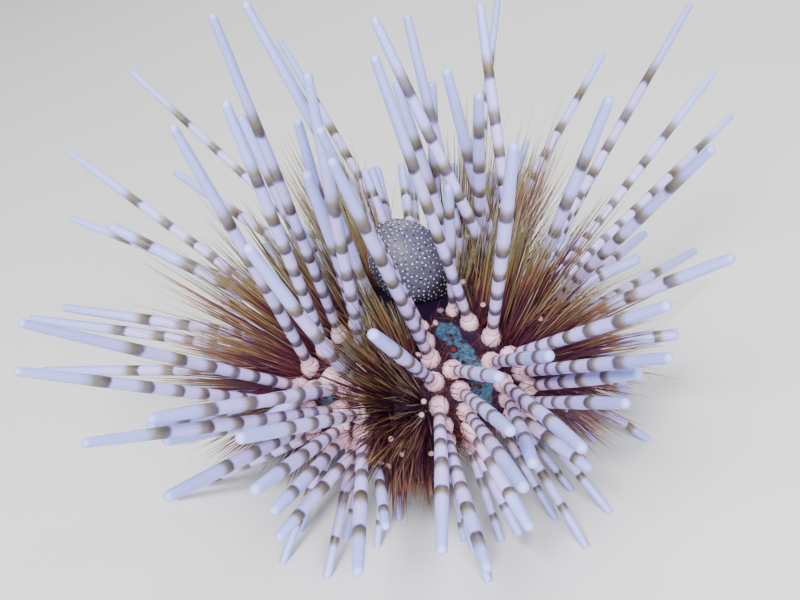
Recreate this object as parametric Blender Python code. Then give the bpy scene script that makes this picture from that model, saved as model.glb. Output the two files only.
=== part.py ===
"""A banded sea urchin, life size, resting on the floor on the tips of its lowest spines.

The test, the hard round body, is parted like the real one: five wide interambulacra carry
the thick banded primary spines, and five narrow ambulacra between them carry the fans of
thin needles. The anal sac stands on the apical disc at the top. The peristome and the five
teeth close the mouth below. X runs to the viewer's right, Y away from the viewer, Z up.
"""

import random
from math import asin, cos, degrees, pi, radians, sin, sqrt

import bmesh
import bpy
import numpy as np

MM = 0.001

# The test: two half ellipsoids that meet at the ambitus, its widest level
TEST_RADIUS = 30 * MM
TEST_RISE = 17 * MM
TEST_DROP = 13 * MM
AMBITUS_HEIGHT = 25 * MM
APICAL_RADIUS = 6 * MM
APICAL_DEPTH = 3 * MM
MOUTH_RADIUS = 12 * MM
MOUTH_DEPTH = 2.5 * MM
CORE_RADIUS = 1 * MM
PART_GAP = 0.3 * MM
PLUG_GAP = 0.4 * MM

# The ten areas, in degrees round the axis from +X, anticlockwise from above
INTERAMBULACRA = {1: -68.5, 2: -140.5, 3: 3.5, 4: 75.5, 5: 147.5}
AMBULACRA = {1: -104.5, 2: -32.5, 3: 39.5, 4: 111.5, 5: 183.5}
WIDE_HALF_ANGLE = 24.5
NARROW_HALF_ANGLE = 11.5
POLAR_STEP = 12

# The primary spines: columns across an area and rows down it, in degrees from the apex
COLUMN_ANGLE = {"left": -20, "inner left": -9.5, "inner right": 9.5, "right": 20}
ROWS = {
    "left": (28, 37, 47, 60, 73, 87, 100, 113, 126, 139),
    "inner left": (55, 68, 82, 95, 108, 121),
    "inner right": (60, 74, 86, 98, 110, 124),
    "right": (26, 37, 50, 63, 75, 87, 99, 112, 125, 138),
}
PRIMARY_SIDES = 5
PLAIN_SIDES = 4
PLAIN_BELOW = 98
FEET_BELOW = 110
BULB_RADIUS = 2.2 * MM
BULB_HEIGHT = 1.7 * MM
BULB_LENGTH = 4.4 * MM
NECK_RADIUS = 1.1 * MM
SHAFT_RADIUS = 1.45 * MM
LONG_SHAFT_RADIUS = 1.15 * MM
TIP_RADIUS = 1.12 * MM
LONG_TIP_RADIUS = 0.75 * MM
BLUNT_TO = 48 * MM
TAPERED_FROM = 84 * MM
ROOT_DEPTH = 2.2 * MM
LONGEST_SPINE = 74 * MM
SHORTEST_SPINE = 12 * MM
FLOOR_CLEARANCE = 1 * MM
PLACE_TRIES = 60
TRY_TILT = 1.4
TRY_TURN = 2.4
SEEN_SHARES = (1, 1.03, 0.97, 1.06, 0.94, 1.09, 0.91, 1.12, 0.88, 1.16, 0.84, 1.2, 0.8, 1.25, 0.75)

# The viewer: the photographed tips are placed by where they are seen from this point
VIEW_DISTANCE = 290 * MM
VIEW_ELEVATION = radians(29)
VIEW_ROLL = radians(12.4)
HIDDEN_REACH = 46 * MM
HIDE_STEPS = 40
HIDE_SHORTER = 0.975
HIDE_LOWER = 0.03

# Tips as seen: millimetres to the right of and above the middle of the test, and the length
SEEN_TIPS = {
    1: {
        "left": {
            0: (-42.5, 83, 80),
            1: (-24, 53, 66),
            2: (-23, 47, 62),
            3: (-13, 7, 45),
            4: (4, -44, 52),
            5: (14.5, -48, 56),
        },
        "inner left": {0: (17.5, -4, 32), 1: (20, -16.5, 40), 2: (23, -29.5, 48)},
        "inner right": {0: (29, 1, 38), 1: (36.5, -20.5, 50), 2: (25, -24, 46)},
        "right": {
            0: (5.5, 40, 34),
            1: (-11.5, 69.5, 76),
            2: (20.5, 49.5, 58),
            3: (56, 12.5, 62),
            4: (56.5, 0.5, 60),
            5: (49.5, -3, 52),
            6: (46, -4, 44),
        },
    },
    2: {
        "left": {
            0: (-29, 55, 64),
            1: (-48.5, 79, 88),
            2: (-45.5, 59, 72),
            3: (-57.5, 53.5, 76),
            4: (-92.5, 8.5, 80),
            5: (-93.5, -2.5, 80),
            6: (-50.5, -29.5, 48),
        },
        "inner left": {
            1: (-63, -15, 52),
            2: (-59.5, -18.5, 46),
            3: (-59, -31.5, 52),
            4: (-55, -34, 48),
        },
        "inner right": {
            0: (-63, -13.5, 60),
            1: (-78, -19, 72),
            2: (-39, -30, 44),
            3: (-35.5, -33, 42),
        },
        "right": {
            1: (-27, 43, 50),
            2: (-30.5, 64.5, 78),
            3: (-40.5, 26, 58),
            4: (-42.5, -18, 50),
            5: (-14, -47, 50),
            6: (-34.5, -39, 46),
            7: (-8, -37, 36),
        },
    },
    3: {
        "left": {0: (-4, 79, 80), 2: (-8.5, 78.5, 84), 4: (70.5, 26, 70)},
        "inner left": {0: (42.5, 60, 60), 1: (66, 48.5, 78), 2: (62, 25, 66)},
        "inner right": {0: (61, 81.5, 90), 1: (70.5, 56, 84), 2: (50.5, 29, 54)},
        "right": {
            0: (-6.5, 63.5, 64),
            1: (12.5, 61, 62),
            2: (5, 66.5, 66),
            3: (13.5, 83.5, 86),
            4: (53.5, 66.5, 80),
            5: (67, 66.5, 86),
        },
    },
    4: {
        "left": {
            0: (2.5, 64, 62),
            3: (17, 83.5, 86),
            4: (41, 70, 78),
            5: (23.5, 50, 66),
        },
        "inner right": {0: (-33, 73, 82)},
        "right": {2: (-34.5, 72, 80)},
    },
    5: {
        "left": {0: (-67, 66, 84), 1: (-57, 43, 68)},
        "inner left": {1: (-81, 32.5, 78)},
        "inner right": {0: (-81, 47.5, 80)},
        "right": {
            1: (-42, 56, 62),
            2: (-73.5, 31.5, 64),
            3: (-82.5, 12, 64),
            4: (-90, 9.5, 70),
            5: (-87.5, -2.5, 66),
        },
    },
}

# The needles of the ambulacra
NEEDLES_PER_AREA = 76
NEEDLE_SIDES = 3
NEEDLE_RADIUS = 0.6 * MM
NEEDLE_LENGTH = 44 * MM
NEEDLE_SHARE = {1: 0.76, 2: 0.86, 3: 1.0, 4: 1.0, 5: 1.0}
NEEDLE_ROOT = 1.6 * MM
NEEDLE_TRIES = 8
NEEDLE_DRAWS = 240

# The anal sac, a bladder that leans on the apical disc
SAC_RADIUS = 8.2 * MM
SAC_HALF_LENGTH = 11.2 * MM
SAC_FOOT_RADIUS = 4.8 * MM
SAC_MIDDLE = (1.5 * MM, 0)
SAC_RISE = 7.3 * MM
SAC_CORE = 2.5 * MM
SAC_LEAN_DIRECTION = (-0.45, -0.06, 1)
SAC_LAST_ANGLE = radians(114)
SAC_SIDES = 16
SAC_RINGS = 9
ANUS_RADIUS = 1.2 * MM
ANUS_HEIGHT = 0.4 * MM

# The mouth
MOUTH_HOLE = 3.2 * MM
TOOTH_ROOT_OUT = 1.75 * MM
TOOTH_TIP_OUT = 0.75 * MM
TOOTH_LENGTH = 5.5 * MM
TOOTH_RADIUS = 0.8 * MM
TOOTH_TIP_RADIUS = 0.25 * MM

DRAW_SEED = 7

COLOURS = {
    "interambulacrum": (0.80, 0.72, 0.78),
    "ambulacrum": (0.16, 0.06, 0.03),
    "anal_sac": (0.33, 0.31, 0.38),
    "apical_disc": (0.05, 0.07, 0.14),
    "peristome": (0.20, 0.08, 0.08),
    "tooth": (0.88, 0.86, 0.80),
}
ROUGHNESS = {
    "interambulacrum": 0.45,
    "ambulacrum": 0.35,
    "anal_sac": 0.40,
    "apical_disc": 0.50,
    "peristome": 0.60,
    "tooth": 0.30,
}

UP = np.array([0.0, 0.0, 1.0])


def unit(vector):
    return np.asarray(vector, float) / np.linalg.norm(vector)


def material_of(kind):
    found = bpy.data.materials.get(kind)
    if found:
        return found
    made = bpy.data.materials.new(kind)
    made.use_nodes = True
    shader = made.node_tree.nodes["Principled BSDF"]
    shader.inputs["Base Color"].default_value = (*COLOURS[kind], 1)
    shader.inputs["Roughness"].default_value = ROUGHNESS[kind]
    shader.inputs["Metallic"].default_value = 0
    return made


def mesh_object(name, points, faces, collection=None):
    mesh = bpy.data.meshes.new(name)
    mesh.from_pydata([tuple(point) for point in points], [], faces)
    mesh.update()
    made = bpy.data.objects.new(name, mesh)
    (collection or bpy.context.scene.collection).objects.link(made)
    return made


def finish(made, kind):
    made.data.materials.clear()
    made.data.materials.append(material_of(kind))
    made.data.shade_smooth()
    made.data.set_sharp_from_angle(angle=radians(40))
    return made


def around(azimuth):
    return np.array([cos(azimuth), sin(azimuth), 0.0])


def test_half_height(polar):
    return TEST_RISE if polar < pi / 2 else TEST_DROP


def test_point(polar, azimuth):
    """The point of the test's surface at an angle from the apex and an angle round the axis."""
    height = AMBITUS_HEIGHT + test_half_height(polar) * cos(polar)
    return TEST_RADIUS * sin(polar) * around(azimuth) + height * UP


def test_normal(polar, azimuth):
    across = sin(polar) / TEST_RADIUS
    along = cos(polar) / test_half_height(polar)
    return unit(across * around(azimuth) + along * UP)


def test_profile():
    """The test's section from the apical disc's edge to the mouth's, closed inside both."""
    start = asin(APICAL_RADIUS / TEST_RADIUS)
    end = pi - asin(MOUTH_RADIUS / TEST_RADIUS)
    steps = round((end - start) / radians(POLAR_STEP))
    profile = []
    for step in range(steps + 1):
        polar = start + (end - start) * step / steps
        height = test_half_height(polar) * cos(polar)
        profile.append((TEST_RADIUS * sin(polar), height))
    floor_of_mouth = profile[-1][1] + MOUTH_DEPTH
    floor_of_disc = profile[0][1] - APICAL_DEPTH
    profile.append((MOUTH_RADIUS, floor_of_mouth))
    profile.append((CORE_RADIUS, floor_of_mouth))
    profile.append((CORE_RADIUS, floor_of_disc))
    profile.append((APICAL_RADIUS, floor_of_disc))
    return profile


def sector(name, middle, half_angle, columns):
    """One area of the test: the section turned through its share, less half a gap each side."""
    profile = test_profile()
    rows = len(profile)
    points = []
    for column in range(columns + 1):
        share = 2 * column / columns - 1
        for radius, height in profile:
            half = radians(half_angle) - asin(PART_GAP / 2 / radius)
            azimuth = radians(middle) + share * half
            points.append(radius * around(azimuth) + (AMBITUS_HEIGHT + height) * UP)
    faces = [tuple(reversed(range(rows)))]
    faces.append(tuple(columns * rows + row for row in range(rows)))
    for column in range(columns):
        for row in range(rows):
            after = (row + 1) % rows
            here = column * rows
            faces.append((here + row, here + after, here + rows + after, here + rows + row))
    return mesh_object(name, points, faces)


def frame_across(direction):
    """Two unit vectors at right angles to a direction."""
    side = unit(np.cross(direction, UP if abs(direction[2]) < 0.9 else (1, 0, 0)))
    return side, np.cross(direction, side)


def tapered(name, root, direction, stations, sides, collection, foot=False):
    """A closed form along a line from (distance, radius) pairs.

    A foot's end is cut level with the floor, and a last radius of nothing makes a point.
    """
    across, over = frame_across(direction)
    pointed = stations[-1][1] == 0
    rings = len(stations) - pointed
    points = []
    for distance, radius in stations[:rings]:
        for side in range(sides):
            turn = 2 * pi * side / sides
            offset = radius * (cos(turn) * across + sin(turn) * over)
            points.append(root + distance * direction + offset)
    if foot:
        for index in range(-sides, 0):
            points[index] = points[index] - direction * (points[index][2] / direction[2])
            points[index][2] = 0
    last = (rings - 1) * sides
    faces = [tuple(reversed(range(sides)))]
    if pointed:
        points.append(root + stations[-1][0] * direction)
        for side in range(sides):
            faces.append((last + side, last + (side + 1) % sides, len(points) - 1))
    else:
        faces.append(tuple(last + side for side in range(sides)))
    for ring in range(rings - 1):
        for side in range(sides):
            after = (side + 1) % sides
            low, high = ring * sides, (ring + 1) * sides
            faces.append((low + side, low + after, high + after, high + side))
    return mesh_object(name, points, faces, collection)


def keep_largest_surface(mesh):
    """Drops every closed surface of a mesh but the one with the most faces."""
    work = bmesh.new()
    work.from_mesh(mesh)
    left = set(work.verts)
    groups = []
    while left:
        group, edge = set(), [left.pop()]
        while edge:
            vertex = edge.pop()
            group.add(vertex)
            for link in vertex.link_edges:
                other = link.other_vert(vertex)
                if other in left:
                    left.remove(other)
                    edge.append(other)
        groups.append(group)
    groups.sort(key=len)
    for group in groups[:-1]:
        bmesh.ops.delete(work, geom=list(group), context="VERTS")
    bmesh.ops.triangulate(work, faces=work.faces)
    work.to_mesh(mesh)
    work.free()


def fuse(body, pieces):
    """Joins a collection of closed pieces to their body, then removes the pieces."""
    union = body.modifiers.new("fused", "BOOLEAN")
    union.operation = "UNION"
    union.solver = "MANIFOLD"
    union.operand_type = "COLLECTION"
    union.collection = pieces
    graph = bpy.context.evaluated_depsgraph_get()
    fused = bpy.data.meshes.new_from_object(body.evaluated_get(graph))
    body.modifiers.clear()
    body.data = fused
    keep_largest_surface(fused)
    for piece in list(pieces.objects):
        bpy.data.objects.remove(piece)
    bpy.data.collections.remove(pieces)
    return body


def new_collection(name):
    made = bpy.data.collections.new(name)
    bpy.context.scene.collection.children.link(made)
    return made


def axis_distances(start, end, starts, ends):
    """The shortest distance from one line segment to each of many."""
    along = end - start
    others = ends - starts
    between = start - starts
    a = along @ along
    e = np.einsum("ij,ij->i", others, others)
    b = others @ along
    c = between @ along
    f = np.einsum("ij,ij->i", others, between)
    spread = np.maximum(a * e - b * b, 1e-18)
    s = np.clip((b * f - c * e) / spread, 0, 1)
    t = np.clip((b * s + f) / e, 0, 1)
    s = np.clip((b * t - c) / a, 0, 1)
    gap = between + s[:, None] * along - t[:, None] * others
    return np.linalg.norm(gap, axis=1)


class Crowd:
    """The lines that are taken already: each has its ends, its radius and its node."""

    def __init__(self):
        self.starts = np.zeros((0, 3))
        self.ends = np.zeros((0, 3))
        self.radii = np.zeros(0)
        self.nodes = np.zeros(0, int)

    def add(self, start, end, radius, node):
        self.starts = np.vstack([self.starts, start])
        self.ends = np.vstack([self.ends, end])
        self.radii = np.append(self.radii, radius)
        self.nodes = np.append(self.nodes, node)

    def room(self, start, end, radius, node, own_gap):
        """The least spare distance to what is taken; own_gap is what it keeps in its node."""
        if not len(self.radii):
            return 1.0
        wanted = np.where(self.nodes == node, own_gap, PART_GAP * 1.2)
        found = axis_distances(start, end, self.starts, self.ends)
        return float((found - self.radii - radius - wanted).min())


def inside_test(point, grown):
    """True where a point is in the test with its surface moved out by a distance."""
    flat = sqrt(point[0] ** 2 + point[1] ** 2) / (TEST_RADIUS + grown)
    height = point[2] - AMBITUS_HEIGHT
    half = (TEST_RISE if height > 0 else TEST_DROP) + grown
    return flat ** 2 + (height / half) ** 2 < 1


def over_own_area(point, middle, half_angle, radius):
    """True where a point with a radius round it stays within its area's share of the turn."""
    away = sqrt(point[0] ** 2 + point[1] ** 2)
    turn = np.arctan2(point[1], point[0]) - radians(middle)
    turn = abs((turn + pi) % (2 * pi) - pi)
    reach = radians(half_angle) - turn
    return away * sin(max(reach, 0)) > radius + PART_GAP / 2 - 1e-9 and reach > 0


def clears_other_areas(root, direction, stations, middle, half_angle):
    """True where a piece keeps off the test outside its own area."""
    for distance, radius in stations:
        point = root + distance * direction
        if inside_test(point, radius + PART_GAP):
            if not over_own_area(point, middle, half_angle, radius):
                return False
    return True


def turned(direction, tilt, turn):
    across, over = frame_across(direction)
    side = cos(turn) * across + sin(turn) * over
    return cos(tilt) * direction + sin(tilt) * side


def above_floor(root, direction, length, clearance):
    """The direction, raised if need be, so that the tip keeps a clearance to the floor."""
    lowest = (clearance - root[2]) / length
    if direction[2] >= lowest:
        return direction
    flat = unit((direction[0], direction[1], 0))
    return sqrt(1 - lowest ** 2) * flat + lowest * UP


def view_axes():
    """The viewer's right, up and towards directions."""
    towards = np.array([0, -cos(VIEW_ELEVATION), sin(VIEW_ELEVATION)])
    level_right = np.array([1.0, 0, 0])
    level_up = np.array([0, sin(VIEW_ELEVATION), cos(VIEW_ELEVATION)])
    right = cos(VIEW_ROLL) * level_right - sin(VIEW_ROLL) * level_up
    up = sin(VIEW_ROLL) * level_right + cos(VIEW_ROLL) * level_up
    return right, up, towards


def seen_direction(root, normal, right_of, above, length):
    """The direction that puts a tip where the viewer sees it, the more upright of the two."""
    right, up, towards = view_axes()
    middle = AMBITUS_HEIGHT * UP
    eye = middle + VIEW_DISTANCE * towards
    ray = unit(middle + right_of * right + above * up - eye)
    nearest = (root - eye) @ ray
    off = np.linalg.norm(root - eye - nearest * ray)
    half = sqrt(max(length ** 2 - off ** 2, 0))
    choices = [unit(eye + (nearest + sign * half) * ray - root) for sign in (-1, 1)]
    return max(choices, key=lambda choice: choice @ normal)


def primary_size(polar):
    """How large a primary spine's foot is, from the apex to the mouth, as a share."""
    angle = degrees(polar)
    if angle < 40:
        return 0.55 + 0.45 * (angle - 20) / 20
    if angle < 95:
        return 1.0
    return 1.0 - 0.5 * (angle - 95) / 45


def usual_length(polar, share_drawn):
    """The length of a primary spine that isn't placed by sight."""
    angle = degrees(polar)
    if angle < 45:
        length = LONGEST_SPINE * (0.55 + 0.45 * (angle - 25) / 20)
    elif angle < 90:
        length = LONGEST_SPINE
    else:
        share = min((angle - 90) / 50, 1)
        length = LONGEST_SPINE * (1 - share) ** 1.2 + SHORTEST_SPINE * share
    return length * share_drawn


def usual_direction(polar, root, normal, lean):
    """How a primary spine stands that isn't placed by sight."""
    angle = degrees(polar)
    if angle < 100:
        upright = unit(normal + 0.35 * UP * (1 - angle / 100))
    else:
        out = unit((root[0], root[1], 0))
        drop = radians(32 + 36 * (angle - 100) / 40)
        upright = cos(drop) * out - sin(drop) * UP
    return turned(upright, lean[1], lean[2])


def column_turn(column, polar):
    """A column's angle from the middle of its area, drawn in where the area is narrow."""
    foot = BULB_RADIUS * primary_size(polar) + PART_GAP
    most = WIDE_HALF_ANGLE - degrees(asin(foot / (TEST_RADIUS * sin(polar))))
    wanted = COLUMN_ANGLE[column]
    return max(-most, min(most, wanted))


def primary_stations(polar, length):
    """A primary spine's form: root, bulb, neck, thickest place and tip; plainer below."""
    size = primary_size(polar)
    taper = min(max((length - BLUNT_TO) / (TAPERED_FROM - BLUNT_TO), 0), 1)
    tip = TIP_RADIUS + taper * (LONG_TIP_RADIUS - TIP_RADIUS)
    shaft = SHAFT_RADIUS + taper * (LONG_SHAFT_RADIUS - SHAFT_RADIUS)
    if polar > radians(PLAIN_BELOW):
        return (
            (-ROOT_DEPTH * size, BULB_RADIUS * 0.62 * size),
            (BULB_HEIGHT * size, BULB_RADIUS * size),
            (0.3 * length, shaft * size),
            (length, tip * size),
        )
    return (
        (-ROOT_DEPTH * size, BULB_RADIUS * 0.62 * size),
        (BULB_HEIGHT * size, BULB_RADIUS * size),
        (BULB_LENGTH * size, NECK_RADIUS * size),
        (0.62 * length, shaft * (0.55 + 0.45 * size)),
        (length, tip * (0.6 + 0.4 * size)),
    )


def out_of_sight(root, direction, length):
    """Lowers and shortens a spine that the viewer doesn't see until nearer ones hide its tip."""
    right, up, towards = view_axes()
    for _ in range(HIDE_STEPS):
        offset = root + length * direction - AMBITUS_HEIGHT * UP
        spread = sqrt((offset @ right) ** 2 + (offset @ up) ** 2)
        if spread * VIEW_DISTANCE / (VIEW_DISTANCE - offset @ towards) < HIDDEN_REACH:
            break
        length *= HIDE_SHORTER
        if direction[2] > HIDE_LOWER:
            direction = unit(direction - HIDE_LOWER * UP)
    return direction, length


def primary_aim(root, normal, polar, seen, lean):
    """A primary spine's direction and length, by sight where its tip is seen."""
    if seen:
        right_of, above, length = seen
        return seen_direction(root, normal, right_of * MM, above * MM, length * MM), length * MM
    direction = usual_direction(polar, root, normal, lean)
    return out_of_sight(root, direction, usual_length(polar, lean[0]))


def tries(seen):
    """Each try's step and seen tip: other lengths keep the tip's place in the view."""
    for step in range(PLACE_TRIES):
        if not seen:
            yield step, None
            continue
        right_of, above, length = seen
        for share in SEEN_SHARES:
            yield step, (right_of, above, length * share)


def place_primary(crowd, area, column, row, draw):
    """Finds where one primary spine stands; returns what its form needs."""
    middle = INTERAMBULACRA[area]
    polar = radians(ROWS[column][row])
    size = primary_size(polar)
    seen = SEEN_TIPS[area].get(column, {}).get(row)
    foot = not seen and ROWS[column][row] >= FEET_BELOW
    lean = (draw.uniform(0.88, 1.06), radians(draw.uniform(0, 7)), draw.uniform(0, 2 * pi))
    best = None
    for step, tip in tries(seen):
        drawn_in = 1 - step / PLACE_TRIES
        azimuth = radians(middle + column_turn(column, polar) * drawn_in)
        root = test_point(polar, azimuth)
        aim, length = primary_aim(root, test_normal(polar, azimuth), polar, tip, lean)
        direction = turned(aim, radians(TRY_TILT * sqrt(step)), TRY_TURN * step)
        if foot:
            length = -root[2] / direction[2]
        else:
            direction = above_floor(root, direction, length, FLOOR_CLEARANCE + SHAFT_RADIUS)
        stations = primary_stations(polar, length)
        neck = root + BULB_LENGTH * size * direction
        end = root + length * direction
        room = min(
            crowd.room(root, neck, BULB_RADIUS * size, area, -BULB_RADIUS),
            crowd.room(neck, end, SHAFT_RADIUS, area, 0),
        )
        if not clears_other_areas(root, direction, stations, middle, WIDE_HALF_ANGLE):
            room -= 1
        if best is None or room > best[0]:
            best = (room, root, direction, stations, neck, end)
        if room > 0:
            break
    room, root, direction, stations, neck, end = best
    crowd.add(root, neck, BULB_RADIUS * size, area)
    crowd.add(neck, end, SHAFT_RADIUS, area)
    return root, direction, stations, foot


def placed_primaries(crowd, draw):
    """Where every primary spine stands, area by area: those placed by sight come first."""
    keys = []
    for area in INTERAMBULACRA:
        for column, rows in ROWS.items():
            for row in range(len(rows)):
                seen = row in SEEN_TIPS[area].get(column, {})
                keys.append((not seen, row, area, column))
    found = {area: [] for area in INTERAMBULACRA}
    for _, row, area, column in sorted(keys):
        found[area].append(place_primary(crowd, area, column, row, draw))
    return found


def interambulacrum(area, spines):
    """A wide area of the test with its primary spines joined to it."""
    name = f"interambulacrum_{area}"
    body = sector(name, INTERAMBULACRA[area], WIDE_HALF_ANGLE, 4)
    pieces = new_collection("primary spines")
    for root, direction, stations, foot in spines:
        sides = PRIMARY_SIDES if len(stations) > 4 else PLAIN_SIDES
        tapered("spine", root, direction, stations, sides, pieces, foot)
    return finish(fuse(body, pieces), "interambulacrum")


def place_needle(crowd, area, draw):
    """Finds a free line for one needle; returns nothing where the draw meets no room."""
    middle = AMBULACRA[area]
    angle = draw.uniform(30, 116)
    polar = radians(angle)
    azimuth = radians(middle + draw.uniform(-0.62, 0.62) * NARROW_HALF_ANGLE)
    root = test_point(polar, azimuth)
    length = NEEDLE_LENGTH * NEEDLE_SHARE[area] * (1 - abs(angle - 68) / 110) * draw.uniform(0.8, 1.1)
    lean = unit(test_normal(polar, azimuth) + 0.25 * UP * (1 - angle / 90))
    for _ in range(NEEDLE_TRIES):
        direction = turned(lean, radians(draw.uniform(2, 26)), draw.uniform(0, 2 * pi))
        direction = above_floor(root, direction, length, FLOOR_CLEARANCE)
        stations = ((-NEEDLE_ROOT, NEEDLE_RADIUS), (length, 0))
        end = root + length * direction
        if crowd.room(root, end, NEEDLE_RADIUS, 10 + area, 0.1 * MM) < 0:
            continue
        foot = ((-NEEDLE_ROOT, NEEDLE_RADIUS), (2 * NEEDLE_ROOT, NEEDLE_RADIUS))
        if not clears_other_areas(root, direction, foot, middle, NARROW_HALF_ANGLE):
            continue
        crowd.add(root, end, NEEDLE_RADIUS, 10 + area)
        return root, direction, stations
    return None


def ambulacrum(area, crowd, draw):
    """A narrow area of the test with its fan of needles joined to it."""
    name = f"ambulacrum_{area}"
    body = sector(name, AMBULACRA[area], NARROW_HALF_ANGLE, 2)
    pieces = new_collection("needles")
    for _ in range(NEEDLE_DRAWS):
        placed = place_needle(crowd, area, draw)
        if placed:
            tapered("needle", *placed, NEEDLE_SIDES, pieces)
        if len(pieces.objects) == NEEDLES_PER_AREA:
            break
    return finish(fuse(body, pieces), "ambulacrum")


def turned_form(name, profile, sides):
    """A closed ring or disc: a closed section of (radius, height) turned round the axis."""
    rows = len(profile)
    points = []
    for side in range(sides):
        for radius, height in profile:
            points.append(radius * around(2 * pi * side / sides) + height * UP)
    faces = []
    for side in range(sides):
        here, after = side * rows, (side + 1) % sides * rows
        for row in range(rows):
            down = (row + 1) % rows
            faces.append((here + down, here + row, after + row, after + down))
    return mesh_object(name, points, faces)


def disc_top():
    """The level of the apical disc's upper face."""
    return test_profile()[0][1] + AMBITUS_HEIGHT


def mouth_floor():
    """The level of the peristome's upper face, inside the test's mouth."""
    start = asin(MOUTH_RADIUS / TEST_RADIUS)
    return AMBITUS_HEIGHT - TEST_DROP * cos(start) + MOUTH_DEPTH - PLUG_GAP


def apical_disc():
    """The small plate at the top of the test, under the anal sac."""
    top = disc_top()
    radius = APICAL_RADIUS - PLUG_GAP
    bottom = top - APICAL_DEPTH + PLUG_GAP
    points = []
    for height in (bottom, top):
        for side in range(SAC_SIDES):
            points.append(radius * around(2 * pi * side / SAC_SIDES) + height * UP)
    faces = [tuple(reversed(range(SAC_SIDES))), tuple(range(SAC_SIDES, 2 * SAC_SIDES))]
    for side in range(SAC_SIDES):
        after = (side + 1) % SAC_SIDES
        faces.append((side, after, SAC_SIDES + after, SAC_SIDES + side))
    return finish(mesh_object("apical_disc", points, faces), "apical_disc")


def peristome():
    """The skin round the mouth: a ring in the test's lower opening, with a hole for the teeth."""
    top = mouth_floor()
    outer = MOUTH_RADIUS - PLUG_GAP
    profile = (
        (outer, top),
        (outer, top - 1.9 * MM),
        (0.7 * outer, top - 2.5 * MM),
        (MOUTH_HOLE, top - 1.5 * MM),
        (MOUTH_HOLE, top),
    )
    return finish(turned_form("peristome", profile[::-1], 20), "peristome")


def tooth(index):
    """One of the five white teeth that meet in the middle of the mouth."""
    azimuth = radians(INTERAMBULACRA[index])
    root = TOOTH_ROOT_OUT * around(azimuth) + mouth_floor() * UP
    end = TOOTH_TIP_OUT * around(azimuth) + (mouth_floor() - TOOTH_LENGTH) * UP
    direction = unit(end - root)
    stations = ((0, TOOTH_RADIUS), (0.6 * TOOTH_LENGTH, 0.6 * TOOTH_RADIUS))
    stations += ((TOOTH_LENGTH, TOOTH_TIP_RADIUS),)
    name = f"tooth_{index}"
    made = tapered(name, root, direction, stations, 4, bpy.context.scene.collection)
    for vertex in made.data.vertices:
        vertex.co.z = min(vertex.co.z, mouth_floor())
    return finish(made, "tooth")


def sac_axis():
    return unit(SAC_LEAN_DIRECTION)


def anal_sac():
    """The bladder on the apical disc, with the anus as a low rim at its upper end."""
    axis = sac_axis()
    across, over = frame_across(axis)
    middle = np.array([*SAC_MIDDLE, AMBITUS_HEIGHT + TEST_RISE + SAC_RISE])
    rings = [(SAC_HALF_LENGTH + ANUS_HEIGHT, ANUS_RADIUS)]
    for ring in range(1, SAC_RINGS):
        angle = SAC_LAST_ANGLE * ring / (SAC_RINGS - 1)
        rings.append((SAC_HALF_LENGTH * cos(angle), SAC_RADIUS * sin(angle)))
    points = []
    for along, radius in rings:
        for side in range(SAC_SIDES):
            turn = 2 * pi * side / SAC_SIDES
            offset = radius * (cos(turn) * across + sin(turn) * over)
            points.append(middle + along * axis + offset)
    foot = disc_top() + PART_GAP
    foot_middle = middle + axis * (foot - middle[2]) / axis[2]
    for side in range(SAC_SIDES):
        turn = 2 * pi * side / SAC_SIDES
        offset = cos(turn) * across + sin(turn) * over
        points.append(foot_middle + SAC_FOOT_RADIUS * unit((offset[0], offset[1], 0)))
    faces = []
    for ring in range(len(rings)):
        for side in range(SAC_SIDES):
            after = (side + 1) % SAC_SIDES
            low, high = (ring + 1) * SAC_SIDES, ring * SAC_SIDES
            faces.append((low + side, low + after, high + after, high + side))
    last = len(rings) * SAC_SIDES
    faces.append(tuple(reversed(range(last, last + SAC_SIDES))))
    dimple = len(points)
    points.append(middle + (SAC_HALF_LENGTH - ANUS_HEIGHT) * axis)
    for side in range(SAC_SIDES):
        faces.append((side, (side + 1) % SAC_SIDES, dimple))
    return finish(mesh_object("anal_sac", points, faces), "anal_sac")


def stand_on_origin(made):
    """Moves every piece so that the middle of the whole one's footprint is the origin."""
    boxes = [np.array([vertex.co for vertex in piece.data.vertices]) for piece in made]
    low = np.min([box.min(axis=0) for box in boxes], axis=0)
    high = np.max([box.max(axis=0) for box in boxes], axis=0)
    middle = (low + high) / 2
    for piece in made:
        for vertex in piece.data.vertices:
            vertex.co.x -= middle[0]
            vertex.co.y -= middle[1]


def main():
    for leftover in list(bpy.data.objects):
        bpy.data.objects.remove(leftover)
    draw = random.Random(DRAW_SEED)
    crowd = Crowd()
    sac_low = np.array([*SAC_MIDDLE, AMBITUS_HEIGHT + TEST_RISE])
    sac_high = np.array([*SAC_MIDDLE, AMBITUS_HEIGHT + TEST_RISE + SAC_RISE + SAC_CORE])
    crowd.add(sac_low, sac_high, SAC_RADIUS, 0)
    spines = placed_primaries(crowd, draw)
    made = [interambulacrum(area, spines[area]) for area in INTERAMBULACRA]
    made += [ambulacrum(area, crowd, draw) for area in AMBULACRA]
    made += [anal_sac(), apical_disc(), peristome()]
    made += [tooth(index) for index in INTERAMBULACRA]
    stand_on_origin(made)


if __name__ == "__main__":
    main()
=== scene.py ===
"""The looks of a life-size banded sea urchin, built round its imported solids.

Each group of like pieces has its own operator: the skin of the test, the banded primary
spines, the fans of needles, the fine hairs and tube feet, the anal sac, the teeth and the
stage. Run as a script, it makes them all in order. X runs to the viewer's right, Y away
from the viewer and Z up, in metres.
"""

import random
from math import asin, cos, degrees, pi, radians, sin, sqrt

import bpy
import numpy as np
from bpy.props import FloatProperty, FloatVectorProperty, IntProperty, PointerProperty
from mathutils import Matrix, Vector, noise


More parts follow.
